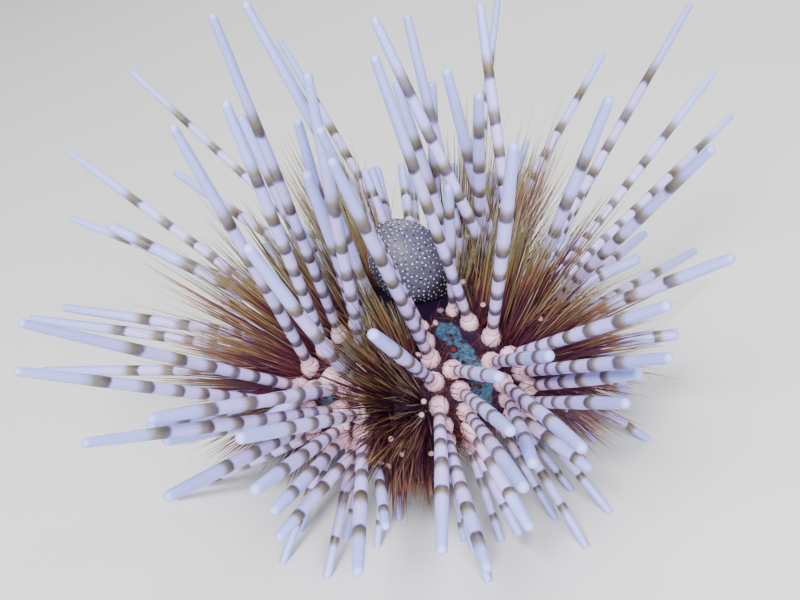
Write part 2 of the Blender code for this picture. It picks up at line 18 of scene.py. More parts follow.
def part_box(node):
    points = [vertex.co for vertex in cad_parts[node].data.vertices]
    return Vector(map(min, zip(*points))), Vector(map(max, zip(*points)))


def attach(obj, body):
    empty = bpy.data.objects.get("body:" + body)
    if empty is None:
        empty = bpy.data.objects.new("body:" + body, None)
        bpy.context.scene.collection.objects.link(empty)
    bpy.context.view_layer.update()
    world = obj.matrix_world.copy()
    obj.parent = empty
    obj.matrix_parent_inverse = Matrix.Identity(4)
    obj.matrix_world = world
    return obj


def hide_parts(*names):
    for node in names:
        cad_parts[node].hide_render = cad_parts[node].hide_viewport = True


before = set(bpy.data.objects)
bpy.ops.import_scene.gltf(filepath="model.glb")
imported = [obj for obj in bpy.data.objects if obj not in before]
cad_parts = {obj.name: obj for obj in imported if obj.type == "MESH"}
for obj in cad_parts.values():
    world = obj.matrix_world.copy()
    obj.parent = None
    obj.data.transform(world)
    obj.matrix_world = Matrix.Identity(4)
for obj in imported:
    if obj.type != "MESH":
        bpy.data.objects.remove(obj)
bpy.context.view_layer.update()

bl_info = {
    "name": "Banded sea urchin",
    "version": (1, 0, 0),
    "blender": (4, 5, 0),
    "location": "3D View > Sidebar > Urchin",
    "description": "Makes a banded sea urchin round its solid model",
    "category": "Add Mesh",
}

MM = 0.001
UP = np.array([0.0, 0.0, 1.0])

# The test: two half ellipsoids that meet at the ambitus, its widest level
TEST_RADIUS = 30 * MM
TEST_RISE = 17 * MM
TEST_DROP = 13 * MM
AMBITUS_HEIGHT = 25 * MM
MOUTH_RADIUS = 12 * MM
PART_GAP = 0.3 * MM

# The ten areas, in degrees round the axis from +X, anticlockwise from above
INTERAMBULACRA = {1: -68.5, 2: -140.5, 3: 3.5, 4: 75.5, 5: 147.5}
AMBULACRA = {1: -104.5, 2: -32.5, 3: 39.5, 4: 111.5, 5: 183.5}
WIDE_HALF_ANGLE = 24.5
NARROW_HALF_ANGLE = 11.5

# The primary spines: columns across an area and rows down it, in degrees from the apex
COLUMN_ANGLE = {"left": -20, "inner left": -9.5, "inner right": 9.5, "right": 20}
ROWS = {
    "left": (28, 37, 47, 60, 73, 87, 100, 113, 126, 139),
    "inner left": (55, 68, 82, 95, 108, 121),
    "inner right": (60, 74, 86, 98, 110, 124),
    "right": (26, 37, 50, 63, 75, 87, 99, 112, 125, 138),
}
PLAIN_BELOW = 98
FEET_BELOW = 110
BULB_RADIUS = 2.2 * MM
ROOT_RADIUS = 0.62 * BULB_RADIUS
THICKEST_AT = 0.62
BULB_HEIGHT = 1.7 * MM
BULB_LENGTH = 4.4 * MM
NECK_RADIUS = 1.1 * MM
SHAFT_RADIUS = 1.45 * MM
LONG_SHAFT_RADIUS = 1.15 * MM
TIP_RADIUS = 1.12 * MM
LONG_TIP_RADIUS = 0.75 * MM
BLUNT_TO = 48 * MM
TAPERED_FROM = 84 * MM
ROOT_DEPTH = 2.2 * MM
LONGEST_SPINE = 74 * MM
SHORTEST_SPINE = 12 * MM
FLOOR_CLEARANCE = 1 * MM
PLACE_TRIES = 60
TRY_TILT = 1.4
TRY_TURN = 2.4
SEEN_SHARES = (1, 1.03, 0.97, 1.06, 0.94, 1.09, 0.91, 1.12, 0.88, 1.16, 0.84, 1.2, 0.8, 1.25, 0.75)

# The viewer: the photographed tips are placed by where they are seen from this point
VIEW_DISTANCE = 290 * MM
VIEW_ELEVATION = radians(29)
VIEW_ROLL = radians(12.4)
HIDDEN_REACH = 46 * MM
HIDE_STEPS = 40
HIDE_SHORTER = 0.975
HIDE_LOWER = 0.03

# Tips as seen: millimetres to the right of and above the middle of the test, and the length
SEEN_TIPS = {
    1: {
        "left": {
            0: (-42.5, 83, 80), 1: (-24, 53, 66), 2: (-23, 47, 62), 3: (-13, 7, 45),
            4: (4, -44, 52), 5: (14.5, -48, 56),
        },
        "inner left": {0: (17.5, -4, 32), 1: (20, -16.5, 40), 2: (23, -29.5, 48)},
        "inner right": {0: (29, 1, 38), 1: (36.5, -20.5, 50), 2: (25, -24, 46)},
        "right": {
            0: (5.5, 40, 34), 1: (-11.5, 69.5, 76), 2: (20.5, 49.5, 58), 3: (56, 12.5, 62),
            4: (56.5, 0.5, 60), 5: (49.5, -3, 52), 6: (46, -4, 44),
        },
    },
    2: {
        "left": {
            0: (-29, 55, 64), 1: (-48.5, 79, 88), 2: (-45.5, 59, 72), 3: (-57.5, 53.5, 76),
            4: (-92.5, 8.5, 80), 5: (-93.5, -2.5, 80), 6: (-50.5, -29.5, 48),
        },
        "inner left": {
            1: (-63, -15, 52), 2: (-59.5, -18.5, 46), 3: (-59, -31.5, 52), 4: (-55, -34, 48),
        },
        "inner right": {
            0: (-63, -13.5, 60), 1: (-78, -19, 72), 2: (-39, -30, 44), 3: (-35.5, -33, 42),
        },
        "right": {
            1: (-27, 43, 50), 2: (-30.5, 64.5, 78), 3: (-40.5, 26, 58), 4: (-42.5, -18, 50),
            5: (-14, -47, 50), 6: (-34.5, -39, 46), 7: (-8, -37, 36),
        },
    },
    3: {
        "left": {0: (-4, 79, 80), 2: (-8.5, 78.5, 84), 4: (70.5, 26, 70)},
        "inner left": {0: (42.5, 60, 60), 1: (66, 48.5, 78), 2: (62, 25, 66)},
        "inner right": {0: (61, 81.5, 90), 1: (70.5, 56, 84), 2: (50.5, 29, 54)},
        "right": {
            0: (-6.5, 63.5, 64), 1: (12.5, 61, 62), 2: (5, 66.5, 66), 3: (13.5, 83.5, 86),
            4: (53.5, 66.5, 80), 5: (67, 66.5, 86),
        },
    },
    4: {
        "left": {0: (2.5, 64, 62), 3: (17, 83.5, 86), 4: (41, 70, 78), 5: (23.5, 50, 66)},
        "inner right": {0: (-33, 73, 82)},
        "right": {2: (-34.5, 72, 80)},
    },
    5: {
        "left": {0: (-67, 66, 84), 1: (-57, 43, 68)},
        "inner left": {1: (-81, 32.5, 78)},
        "inner right": {0: (-81, 47.5, 80)},
        "right": {
            1: (-42, 56, 62), 2: (-73.5, 31.5, 64), 3: (-82.5, 12, 64), 4: (-90, 9.5, 70),
            5: (-87.5, -2.5, 66),
        },
    },
}

# The anal sac, a bladder that leans on the apical disc: its core is for the placing, and
# its clearance is the room round it in the viewer's sight
SAC_RADIUS = 8.2 * MM
SAC_HALF_LENGTH = 11.2 * MM
SAC_FOOT_RADIUS = 4.8 * MM
SAC_MIDDLE = (1.5 * MM, 0)
SAC_RISE = 7.3 * MM
SAC_CENTRE = np.array([*SAC_MIDDLE, AMBITUS_HEIGHT + TEST_RISE + SAC_RISE])
SAC_CORE = 2.5 * MM
SAC_LEAN_DIRECTION = (-0.45, -0.06, 1)
SAC_LAST_ANGLE = radians(114)
SAC_FIRST_ANGLE = radians(10.5)
SAC_COLUMNS = 96
SAC_RINGS = 44
SAC_SUNK = 0.2 * MM
SAC_CLEARANCE = 9.6 * MM
ANUS_DEPTH = 1.1 * MM
ANUS_FOLDS = 9
DOTS_PER_SQUARE_METRE = 4.0e6
DOT_FLATNESS = 0.45
DISC_TOP = 41.66 * MM

# The mouth
MOUTH_FLOOR = 15.19 * MM
TOOTH_ROOT_OUT = 1.75 * MM
TOOTH_TIP_OUT = 0.75 * MM
TOOTH_LENGTH = 5.5 * MM
TOOTH_RADIUS = 0.8 * MM

# Where every random draw starts, a thin piece's patch of the bake's map, and the floor
DRAW_SEED = 7
SPINE_SEED = 70
NEEDLE_SEED = 700
HAIR_SEED = 720
FOOT_SEED = 730
PALE_SEED = 5
DARK_SEED = 11
TUFT_PATCH = 0.003
FLOOR_HALF = 4.0
FLOOR_CORNERS = ((-1, -1), (1, -1), (1, 1), (-1, 1))

# The axis of the test stands where the solids have it
AXIS_LOW, AXIS_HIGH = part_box("apical_disc")
AXIS = np.array([(AXIS_LOW.x + AXIS_HIGH.x) / 2, (AXIS_LOW.y + AXIS_HIGH.y) / 2, 0.0])

# A primary spine's finer form: millimetres up the bulb and shares of its radius, and then
# the blunt tip's distances from its end and its radii, as shares of its own radius
BULB_FORM = (
    (-0.6, 0.9), (0.5, 0.99), (1.3, 1.0), (2.0, 0.95), (2.6, 0.84), (3.0, 0.7), (3.15, 0.62),
    (3.35, 0.66), (3.8, 0.65), (4.05, 0.58),
)
TIP_FORM = ((0.6, 0.93), (0.33, 0.76), (0.14, 0.52), (0.02, 0.24), (0.0, 0.05))
SHAFT_RINGS = 26
WAIST_RADIUS = 1.22 * MM
LONG_FOOT = 5.0 * MM
SHORT_FOOT = 3.4 * MM
STUB_LENGTH = 14 * MM
SPINE_BOW = 0.006
BAND_STEP = 6.6 * MM

# The thin pieces: angles in degrees from the apex, leans in degrees, and shares
TUFTS_PER_AREA = 34
TUFT_LEAN = 10
NEEDLES_FROM = 20
NEEDLES_SPAN = 104
NEEDLE_TRIES = 4
FULLEST_AT = 58
LOOSE_NEEDLES = 0.12
LOOSE_LEAN = 27
NEEDLE_SHARE = {1: 0.76, 2: 0.86, 3: 1.0, 4: 1.0, 5: 1.0}
# The last stray shift pushes a few needles' upper parts into the pale glint stop, a painted
# highlight
STRAY_SHIFTS = (0,) * 11 + (-0.9, -0.9, -0.5, 0.4)
HEIGHT_STRAY = 3.2
ACROSS_STRAY = 0.16
AIM_STRAY = 1.2
NEEDLE_BEND = 0.008
NEEDLE_SUNK = 0.4 * MM
HAIR_RING = 2.35 * MM
HAIR_BEND = 0.06
HAIR_SUNK = 0.8 * MM
FEET_FROM = 30
FEET_SPAN = 108
FOOT_LEAN = 35
FOOT_BEND = 0.16
FOOT_ROWS = (-0.78, 0.78)
FOOT_FORM = (
    (0, 1.1), (0.1, 1.0), (0.5, 0.8), (0.86, 0.72), (0.93, 1.0), (0.965, 2.0), (1, 2.1),
    (1.006, 1.2),
)

# Sections in millimetres: from the mouth's edge into its pit, and out of the anus to the sac
MOUTH_FORM = (
    (11.4, 13.35), (10.6, 13.3), (9.6, 13.0), (8.4, 12.75), (7.2, 12.8), (6.0, 13.0),
    (5.0, 13.25), (4.2, 13.45), (3.6, 13.6), (3.2, 13.75), (3.0, 14.2), (2.95, 15.2),
    (2.8, 15.7), (0.0, 15.9),
)
ANUS_FORM = (
    (-0.85, 0.3), (-0.55, 0.45), (-0.15, 0.5), (0.15, 0.62), (0.34, 0.85), (0.3, 1.15),
    (0.08, 1.4), (-0.08, 1.6),
)

# The skin: where its stripes and its crown end, in degrees from the apex, and its relief
STRIPE_FROM = 21
STRIPE_TO = 100
CROWN_TO = 33
BOSS_RADIUS = 3.3 * MM
LUMP_HEIGHT = 0.13 * MM
FOLD_HEIGHT = 0.18 * MM
FOLDS_FROM = 3.4 * MM
FOLDS_TO = 11 * MM
MOUTH_FOLDS = 30

# The seen stripe's dark spots: x, y, z and radius in millimetres, and how red the heart is
STRIPE_SPOTS = (
    (6.5, -20.0, 37.1, 1.1, 1.0),
    (6.8, -17.8, 38.1, 0.5, 0.0),
    (8.8, -18.4, 37.5, 0.62, 0.6),
    (5.2, -18.1, 38.2, 0.35, 0.0),
    (7.9, -19.9, 36.9, 0.3, 0.0),
    (7.9, -22.8, 35.1, 0.5, 0.0),
    (6.8, -22.1, 35.8, 0.38, 0.0),
    (10.2, -26.5, 30.6, 0.6, 0.2),
    (8.0, -26.5, 31.5, 0.5, 0.6),
)
KNOB_PLACE = (5.8 * MM, -9.0 * MM, 40.9 * MM)
KNOB_RADIUS = 0.95 * MM
KNOB_HEIGHT = 0.9 * MM


def unit(vector):
    return np.asarray(vector, float) / np.linalg.norm(vector)


def around(azimuth):
    return np.array([cos(azimuth), sin(azimuth), 0.0])


def test_half_height(polar):
    return TEST_RISE if polar < pi / 2 else TEST_DROP


def test_point(polar, azimuth):
    """The point of the test's surface at an angle from the apex and an angle round the axis."""
    height = AMBITUS_HEIGHT + test_half_height(polar) * cos(polar)
    return TEST_RADIUS * sin(polar) * around(azimuth) + height * UP


def test_normal(polar, azimuth):
    across = sin(polar) / TEST_RADIUS
    along = cos(polar) / test_half_height(polar)
    return unit(across * around(azimuth) + along * UP)


def frame_across(direction):
    """Two unit vectors at right angles to a direction."""
    side = unit(np.cross(direction, UP if abs(direction[2]) < 0.9 else (1, 0, 0)))
    return side, np.cross(direction, side)


def axis_distances(start, end, starts, ends):
    """The shortest distance from one line segment to each of many."""
    along = end - start
    others = ends - starts
    between = start - starts
    a = along @ along
    e = np.einsum("ij,ij->i", others, others)
    b = others @ along
    c = between @ along
    f = np.einsum("ij,ij->i", others, between)
    spread = np.maximum(a * e - b * b, 1e-18)
    s = np.clip((b * f - c * e) / spread, 0, 1)
    t = np.clip((b * s + f) / e, 0, 1)
    s = np.clip((b * t - c) / a, 0, 1)
    gap = between + s[:, None] * along - t[:, None] * others
    return np.linalg.norm(gap, axis=1)


class Crowd:
    """The lines that are taken already: each has its ends, its radius and its node."""

    def __init__(self):
        self.starts = np.zeros((0, 3))
        self.ends = np.zeros((0, 3))
        self.radii = np.zeros(0)
        self.nodes = np.zeros(0, int)

    def add(self, start, end, radius, node):
        self.starts = np.vstack([self.starts, start])
        self.ends = np.vstack([self.ends, end])
        self.radii = np.append(self.radii, radius)
        self.nodes = np.append(self.nodes, node)

    def room(self, start, end, radius, node, own_gap):
        """The least spare distance to what is taken; own_gap is what it keeps in its node."""
        if not len(self.radii):
            return 1.0
        wanted = np.where(self.nodes == node, own_gap, PART_GAP * 1.2)
        found = axis_distances(start, end, self.starts, self.ends)
        return float((found - self.radii - radius - wanted).min())


def inside_test(point, grown):
    """True where a point is in the test with its surface moved out by a distance."""
    flat = sqrt(point[0] ** 2 + point[1] ** 2) / (TEST_RADIUS + grown)
    height = point[2] - AMBITUS_HEIGHT
    half = (TEST_RISE if height > 0 else TEST_DROP) + grown
    return flat ** 2 + (height / half) ** 2 < 1


def over_own_area(point, middle, half_angle, radius):
    """True where a point with a radius round it stays within its area's share of the turn."""
    away = sqrt(point[0] ** 2 + point[1] ** 2)
    turn = np.arctan2(point[1], point[0]) - radians(middle)
    turn = abs((turn + pi) % (2 * pi) - pi)
    reach = radians(half_angle) - turn
    return away * sin(max(reach, 0)) > radius + PART_GAP / 2 - 1e-9 and reach > 0


def clears_other_areas(root, direction, stations, middle, half_angle):
    """True where a piece keeps off the test outside its own area."""
    for distance, radius in stations:
        point = root + distance * direction
        if inside_test(point, radius + PART_GAP):
            if not over_own_area(point, middle, half_angle, radius):
                return False
    return True


def turned(direction, tilt, turn):
    across, over = frame_across(direction)
    side = cos(turn) * across + sin(turn) * over
    return cos(tilt) * direction + sin(tilt) * side


def above_floor(root, direction, length, clearance):
    """The direction, raised if need be, so that the tip keeps a clearance to the floor."""
    lowest = (clearance - root[2]) / length
    if direction[2] >= lowest:
        return direction
    flat = unit((direction[0], direction[1], 0))
    return sqrt(1 - lowest ** 2) * flat + lowest * UP


def view_axes():
    """The viewer's right, up and towards directions."""
    towards = np.array([0, -cos(VIEW_ELEVATION), sin(VIEW_ELEVATION)])
    level_right = np.array([1.0, 0, 0])
    level_up = np.array([0, sin(VIEW_ELEVATION), cos(VIEW_ELEVATION)])
    right = cos(VIEW_ROLL) * level_right - sin(VIEW_ROLL) * level_up
    up = sin(VIEW_ROLL) * level_right + cos(VIEW_ROLL) * level_up
    return right, up, towards


def seen_direction(root, normal, right_of, above, length):
    """The direction that puts a tip where the viewer sees it, the more upright of the two."""
    right, up, towards = view_axes()
    middle = AMBITUS_HEIGHT * UP
    eye = middle + VIEW_DISTANCE * towards
    ray = unit(middle + right_of * right + above * up - eye)
    nearest = (root - eye) @ ray
    off = np.linalg.norm(root - eye - nearest * ray)
    half = sqrt(max(length ** 2 - off ** 2, 0))
    choices = [unit(eye + (nearest + sign * half) * ray - root) for sign in (-1, 1)]
    return max(choices, key=lambda choice: choice @ normal)


def primary_size(polar):
    """How large a primary spine's foot is, from the apex to the mouth, as a share."""
    angle = degrees(polar)
    if angle < 40:
        return 0.55 + 0.45 * (angle - 20) / 20
    if angle < 95:
        return 1.0
    return 1.0 - 0.5 * (angle - 95) / 45


def usual_length(polar, share_drawn):
    """The length of a primary spine that isn't placed by sight."""
    angle = degrees(polar)
    if angle < 45:
        length = LONGEST_SPINE * (0.55 + 0.45 * (angle - 25) / 20)
    elif angle < 90:
        length = LONGEST_SPINE
    else:
        share = min((angle - 90) / 50, 1)
        length = LONGEST_SPINE * (1 - share) ** 1.2 + SHORTEST_SPINE * share
    return length * share_drawn


def usual_direction(polar, root, normal, lean):
    """How a primary spine stands that isn't placed by sight."""
    angle = degrees(polar)
    if angle < 100:
        upright = unit(normal + 0.35 * UP * (1 - angle / 100))
    else:
        out = unit((root[0], root[1], 0))
        drop = radians(32 + 36 * (angle - 100) / 40)
        upright = cos(drop) * out - sin(drop) * UP
    return turned(upright, lean[1], lean[2])


def column_turn(column, polar):
    """A column's angle from the middle of its area, drawn in where the area is narrow."""
    foot = BULB_RADIUS * primary_size(polar) + PART_GAP
    most = WIDE_HALF_ANGLE - degrees(asin(foot / (TEST_RADIUS * sin(polar))))
    wanted = COLUMN_ANGLE[column]
    return max(-most, min(most, wanted))


def primary_stations(polar, length):
    """A primary spine's form: root, bulb, neck, thickest place and tip; plainer below."""
    size = primary_size(polar)
    taper = min(max((length - BLUNT_TO) / (TAPERED_FROM - BLUNT_TO), 0), 1)
    tip = TIP_RADIUS + taper * (LONG_TIP_RADIUS - TIP_RADIUS)
    shaft = SHAFT_RADIUS + taper * (LONG_SHAFT_RADIUS - SHAFT_RADIUS)
    if polar > radians(PLAIN_BELOW):
        return (
            (-ROOT_DEPTH * size, ROOT_RADIUS * size),
            (BULB_HEIGHT * size, BULB_RADIUS * size),
            (0.3 * length, shaft * size),
            (length, tip * size),
        )
    return (
        (-ROOT_DEPTH * size, ROOT_RADIUS * size),
        (BULB_HEIGHT * size, BULB_RADIUS * size),
        (BULB_LENGTH * size, NECK_RADIUS * size),
        (THICKEST_AT * length, shaft * (0.55 + 0.45 * size)),
        (length, tip * (0.6 + 0.4 * size)),
    )


def out_of_sight(root, direction, length):
    """Lowers and shortens a spine that the viewer doesn't see until nearer ones hide its tip."""
    right, up, towards = view_axes()
    for _ in range(HIDE_STEPS):
        offset = root + length * direction - AMBITUS_HEIGHT * UP
        spread = sqrt((offset @ right) ** 2 + (offset @ up) ** 2)
        if spread * VIEW_DISTANCE / (VIEW_DISTANCE - offset @ towards) < HIDDEN_REACH:
            break
        length *= HIDE_SHORTER
        if direction[2] > HIDE_LOWER:
            direction = unit(direction - HIDE_LOWER * UP)
    return direction, length


def primary_aim(root, normal, polar, seen, lean):
    """A primary spine's direction and length, by sight where its tip is seen."""
    if seen:
        right_of, above, length = seen
        return seen_direction(root, normal, right_of * MM, above * MM, length * MM), length * MM
    direction = usual_direction(polar, root, normal, lean)
    return out_of_sight(root, direction, usual_length(polar, lean[0]))


def tries(seen):
    """Each try's step and seen tip: other lengths keep the tip's place in the view."""
    for step in range(PLACE_TRIES):
        if not seen:
            yield step, None
            continue
        right_of, above, length = seen
        for share in SEEN_SHARES:
            yield step, (right_of, above, length * share)


def place_primary(crowd, area, column, row, draw):
    """Finds where one primary spine stands; returns what its form needs."""
    middle = INTERAMBULACRA[area]
    polar = radians(ROWS[column][row])
    size = primary_size(polar)
    seen = SEEN_TIPS[area].get(column, {}).get(row)
    foot = not seen and ROWS[column][row] >= FEET_BELOW
    lean = (draw.uniform(0.88, 1.06), radians(draw.uniform(0, 7)), draw.uniform(0, 2 * pi))
    best = None
    for step, tip in tries(seen):
        drawn_in = 1 - step / PLACE_TRIES
        azimuth = radians(middle + column_turn(column, polar) * drawn_in)
        root = test_point(polar, azimuth)
        aim, length = primary_aim(root, test_normal(polar, azimuth), polar, tip, lean)
        direction = turned(aim, radians(TRY_TILT * sqrt(step)), TRY_TURN * step)
        if foot:
            length = -root[2] / direction[2]
        else:
            direction = above_floor(root, direction, length, FLOOR_CLEARANCE + SHAFT_RADIUS)
        stations = primary_stations(polar, length)
        neck = root + BULB_LENGTH * size * direction
        end = root + length * direction
        room = min(
            crowd.room(root, neck, BULB_RADIUS * size, area, -BULB_RADIUS),
            crowd.room(neck, end, SHAFT_RADIUS, area, 0),
        )
        if not clears_other_areas(root, direction, stations, middle, WIDE_HALF_ANGLE):
            room -= 1
        if best is None or room > best[0]:
            best = (room, root, direction, stations, neck, end)
        if room > 0:
            break
    room, root, direction, stations, neck, end = best
    crowd.add(root, neck, BULB_RADIUS * size, area)
    crowd.add(neck, end, SHAFT_RADIUS, area)
    return root, direction, stations, foot


def placed_primaries(crowd, draw):
    """Where every primary spine stands, area by area: those placed by sight come first."""
    keys = []
    for area in INTERAMBULACRA:
        for column, rows in ROWS.items():
            for row in range(len(rows)):
                seen = row in SEEN_TIPS[area].get(column, {})
                keys.append((not seen, row, area, column))
    found = {area: [] for area in INTERAMBULACRA}
    for _, row, area, column in sorted(keys):
        found[area].append(place_primary(crowd, area, column, row, draw))
    return found


def place_all():
    """Every primary spine, placed as in the solids, and the crowd that they make."""
    crowd = Crowd()
    low = np.array([*SAC_MIDDLE, AMBITUS_HEIGHT + TEST_RISE])
    high = np.array([*SAC_MIDDLE, AMBITUS_HEIGHT + TEST_RISE + SAC_RISE + SAC_CORE])
    crowd.add(low, high, SAC_RADIUS, 0)
    return crowd, placed_primaries(crowd, random.Random(DRAW_SEED))


CROWD, SPINES = place_all()


def add_node(tree, kind, inputs=(), **settings):
    """Adds a node. An input given as another node's socket is linked, any other is set."""
    node = tree.nodes.new(kind)
    for name, value in settings.items():
        setattr(node, name, value)
    for key, value in dict(inputs).items():
        if isinstance(value, bpy.types.NodeSocket):
            tree.links.new(value, node.inputs[key])
        else:
            node.inputs[key].default_value = value
    return node


def maths(tree, operation, first, second=0.0, third=0.0):
    """One Math node's result."""
    inputs = {0: first, 1: second, 2: third}
    return add_node(tree, "ShaderNodeMath", inputs, operation=operation).outputs[0]


def plus(tree, first, second):
    return maths(tree, "ADD", first, second)


def times(tree, first, second):
    return maths(tree, "MULTIPLY", first, second)


def scaled(tree, value, size, offset):
    """A value times a size, and then moved by an offset."""
    return maths(tree, "MULTIPLY_ADD", value, size, offset)


def between(tree, value, low, high):
    """A smooth step from 0 at the low value to 1 at the high one."""
    inputs = {"Value": value, "From Min": low, "From Max": high}
    node = add_node(tree, "ShaderNodeMapRange", inputs, interpolation_type="SMOOTHSTEP")
    return node.outputs["Result"]


def faded(tree, value, low, high):
    """A smooth step down from 1 at the low value to 0 at the high one."""
    return maths(tree, "SUBTRACT", 1.0, between(tree, value, low, high))


def blended(tree, share, first, second, way="MIX"):
    """Two colours mixed by a share."""
    inputs = {"Factor": share, 6: linear(first), 7: linear(second)}
    node = add_node(tree, "ShaderNodeMix", inputs, data_type="RGBA", blend_type=way)
    return node.outputs[2]


def named(tree, name):
    """A surface's own attribute, as a number."""
    node = add_node(tree, "ShaderNodeAttribute", attribute_name=name)
    return node.outputs["Fac"]


def shaded(tree, colour, shade):
    """A colour multiplied by a number."""
    grey = add_node(tree, "ShaderNodeCombineColor", {0: shade, 1: shade, 2: shade}).outputs[0]
    return blended(tree, 1.0, colour, grey, "MULTIPLY")


def own_place(tree):
    """The place on the object's own coordinates."""
    return add_node(tree, "ShaderNodeTexCoord").outputs["Object"]


def grain(tree, scale, detail):
    """Noise on the object's own coordinates, with a scale in grains to the metre."""
    inputs = {"Vector": own_place(tree), "Scale": scale, "Detail": detail}
    return add_node(tree, "ShaderNodeTexNoise", inputs).outputs["Fac"]


def cells(tree, scale):
    """Cells, so many to the metre: the distance to the nearest middle, and a draw for each."""
    node = add_node(tree, "ShaderNodeTexVoronoi", {"Vector": own_place(tree), "Scale": scale})
    draw = add_node(tree, "ShaderNodeSeparateColor", {0: node.outputs["Color"]}).outputs[0]
    return node.outputs["Distance"], draw


def finish_of(name, **sockets):
    """A new material and its tree and shader, with plain values set on the shader."""
    made = bpy.data.materials.new(name)
    made.use_nodes = True
    shader = made.node_tree.nodes["Principled BSDF"]
    for key, value in sockets.items():
        shader.inputs[key.replace("_", " ")].default_value = value
    return made, made.node_tree, shader


def painted(tree, shader, colour, rough):
    """Sets a shader's colour and roughness by other nodes' results."""
    tree.links.new(colour, shader.inputs["Base Color"])
    tree.links.new(rough, shader.inputs["Roughness"])


def raised(tree, shader, height, distance, strength):
    """Bump from a height in the range 0 to 1, over a distance in metres."""
    inputs = {"Height": height, "Distance": distance, "Strength": strength}
    bump = add_node(tree, "ShaderNodeBump", inputs)
    tree.links.new(bump.outputs[0], shader.inputs["Normal"])


def linear(colour):
    """A colour for a node's input: another node's result as it is, or a property made opaque."""
    if isinstance(colour, bpy.types.NodeSocket):
        return colour
    return (*colour[:3], 1.0)


def spine_finish(settings):
    """Lilac-white ribbed calcite with dark bands that fade into olive outwards."""
    made, tree, shader = finish_of("banded spine", IOR=1.5)
    along = named(tree, "along")
    patchy, fine = grain(tree, 420, 3.0), grain(tree, 2600, 4.0)
    # A band starts sharp and darkest on its inner side and fades away outwards
    phase = maths(tree, "FRACT", plus(tree, named(tree, "band"), scaled(tree, patchy, 0.16, -0.08)))
    inside = times(tree, between(tree, phase, 0.0, 0.1), faded(tree, phase, 0.3, 0.58))
    inside = times(tree, inside, scaled(tree, patchy, 0.5, 0.7))
    inside = maths(tree, "MINIMUM", inside, 1.0)
    dark = blended(tree, between(tree, along, 0.14, 0.5), settings.inner_band, settings.outer_band)
    edge = times(tree, faded(tree, phase, 0.12, 0.38), 0.85)
    dark = blended(tree, edge, dark, settings.band_edge)
    # Between the bands: a pale shaft, painted shade in its grooves, a pinkish bulb, redder patches
    white = blended(tree, between(tree, along, 0.45, 0.92), settings.shaft, settings.tip)
    # Painted shade: the grooves between the ribs are darkened towards the furrow colour, patchy by
    # fine grain
    streak_and_groove_shade = times(tree, named(tree, "furrow"), scaled(tree, fine, 0.9, 0.1))
    white = blended(tree, times(tree, streak_and_groove_shade, 0.62), white, settings.furrow)
    pink = faded(tree, named(tree, "from_root"), 4.2 * MM, 12.5 * MM)
    white = blended(tree, times(tree, pink, 0.95), white, settings.foot)
    blush = times(tree, pink, between(tree, patchy, 0.5, 0.72))
    white = blended(tree, times(tree, blush, 0.3), white, settings.blush)
    colour = blended(tree, inside, white, dark)
    colour = shaded(tree, colour, scaled(tree, named(tree, "pick"), 0.18, 0.84))
    painted(tree, shader, colour, scaled(tree, fine, 0.25, settings.roughness - 0.1))
    raised(tree, shader, fine, 0.12 * MM, 0.5)
    return made


def tuft_finish(name, stops, roughness):
    """A finish that runs through colours from root to tip, moved by each piece's own shift."""
    made, tree, shader = finish_of(name, Roughness=roughness, IOR=1.5)
    moved = plus(tree, named(tree, "along"), named(tree, "shift"))
    ramp = add_node(tree, "ShaderNodeValToRGB", {"Fac": moved})
    while len(ramp.color_ramp.elements) < len(stops):
        ramp.color_ramp.elements.new(0.5)
    for element, (place, colour) in zip(ramp.color_ramp.elements, stops):
        element.position = place
        element.color = linear(colour)
    # Streaks of fine grain that vary each thin piece's colour at random
    streak_and_groove_shade = scaled(tree, grain(tree, 900, 2.0), 0.7, 0.62)
    colour = shaded(tree, ramp.outputs["Color"], streak_and_groove_shade)
    tree.links.new(colour, shader.inputs["Base Color"])
    return made


def distance_share(tree, place, radius):
    """How far the surface is from a place near the test, as a share of a radius."""
    inputs = {0: own_place(tree), 1: tuple(AXIS + np.array(place))}
    far = add_node(tree, "ShaderNodeVectorMath", inputs, operation="DISTANCE").outputs["Value"]
    return maths(tree, "DIVIDE", far, radius)


def stripe_spots(tree, colour, settings):
    """The seen stripe's dark spots, each with a red heart as strong as its last number says."""
    torn = scaled(tree, grain(tree, 900, 2.0), 0.3, -0.15)
    for *place, radius, red in STRIPE_SPOTS:
        place = [share * MM for share in place]
        ragged = plus(tree, distance_share(tree, place, radius * MM), torn)
        colour = blended(tree, faded(tree, ragged, 0.8, 1.05), colour, settings.spot_rim)
        heart = times(tree, faded(tree, ragged, 0.4, 0.7), red)
        colour = blended(tree, heart, colour, settings.spot)
    return colour


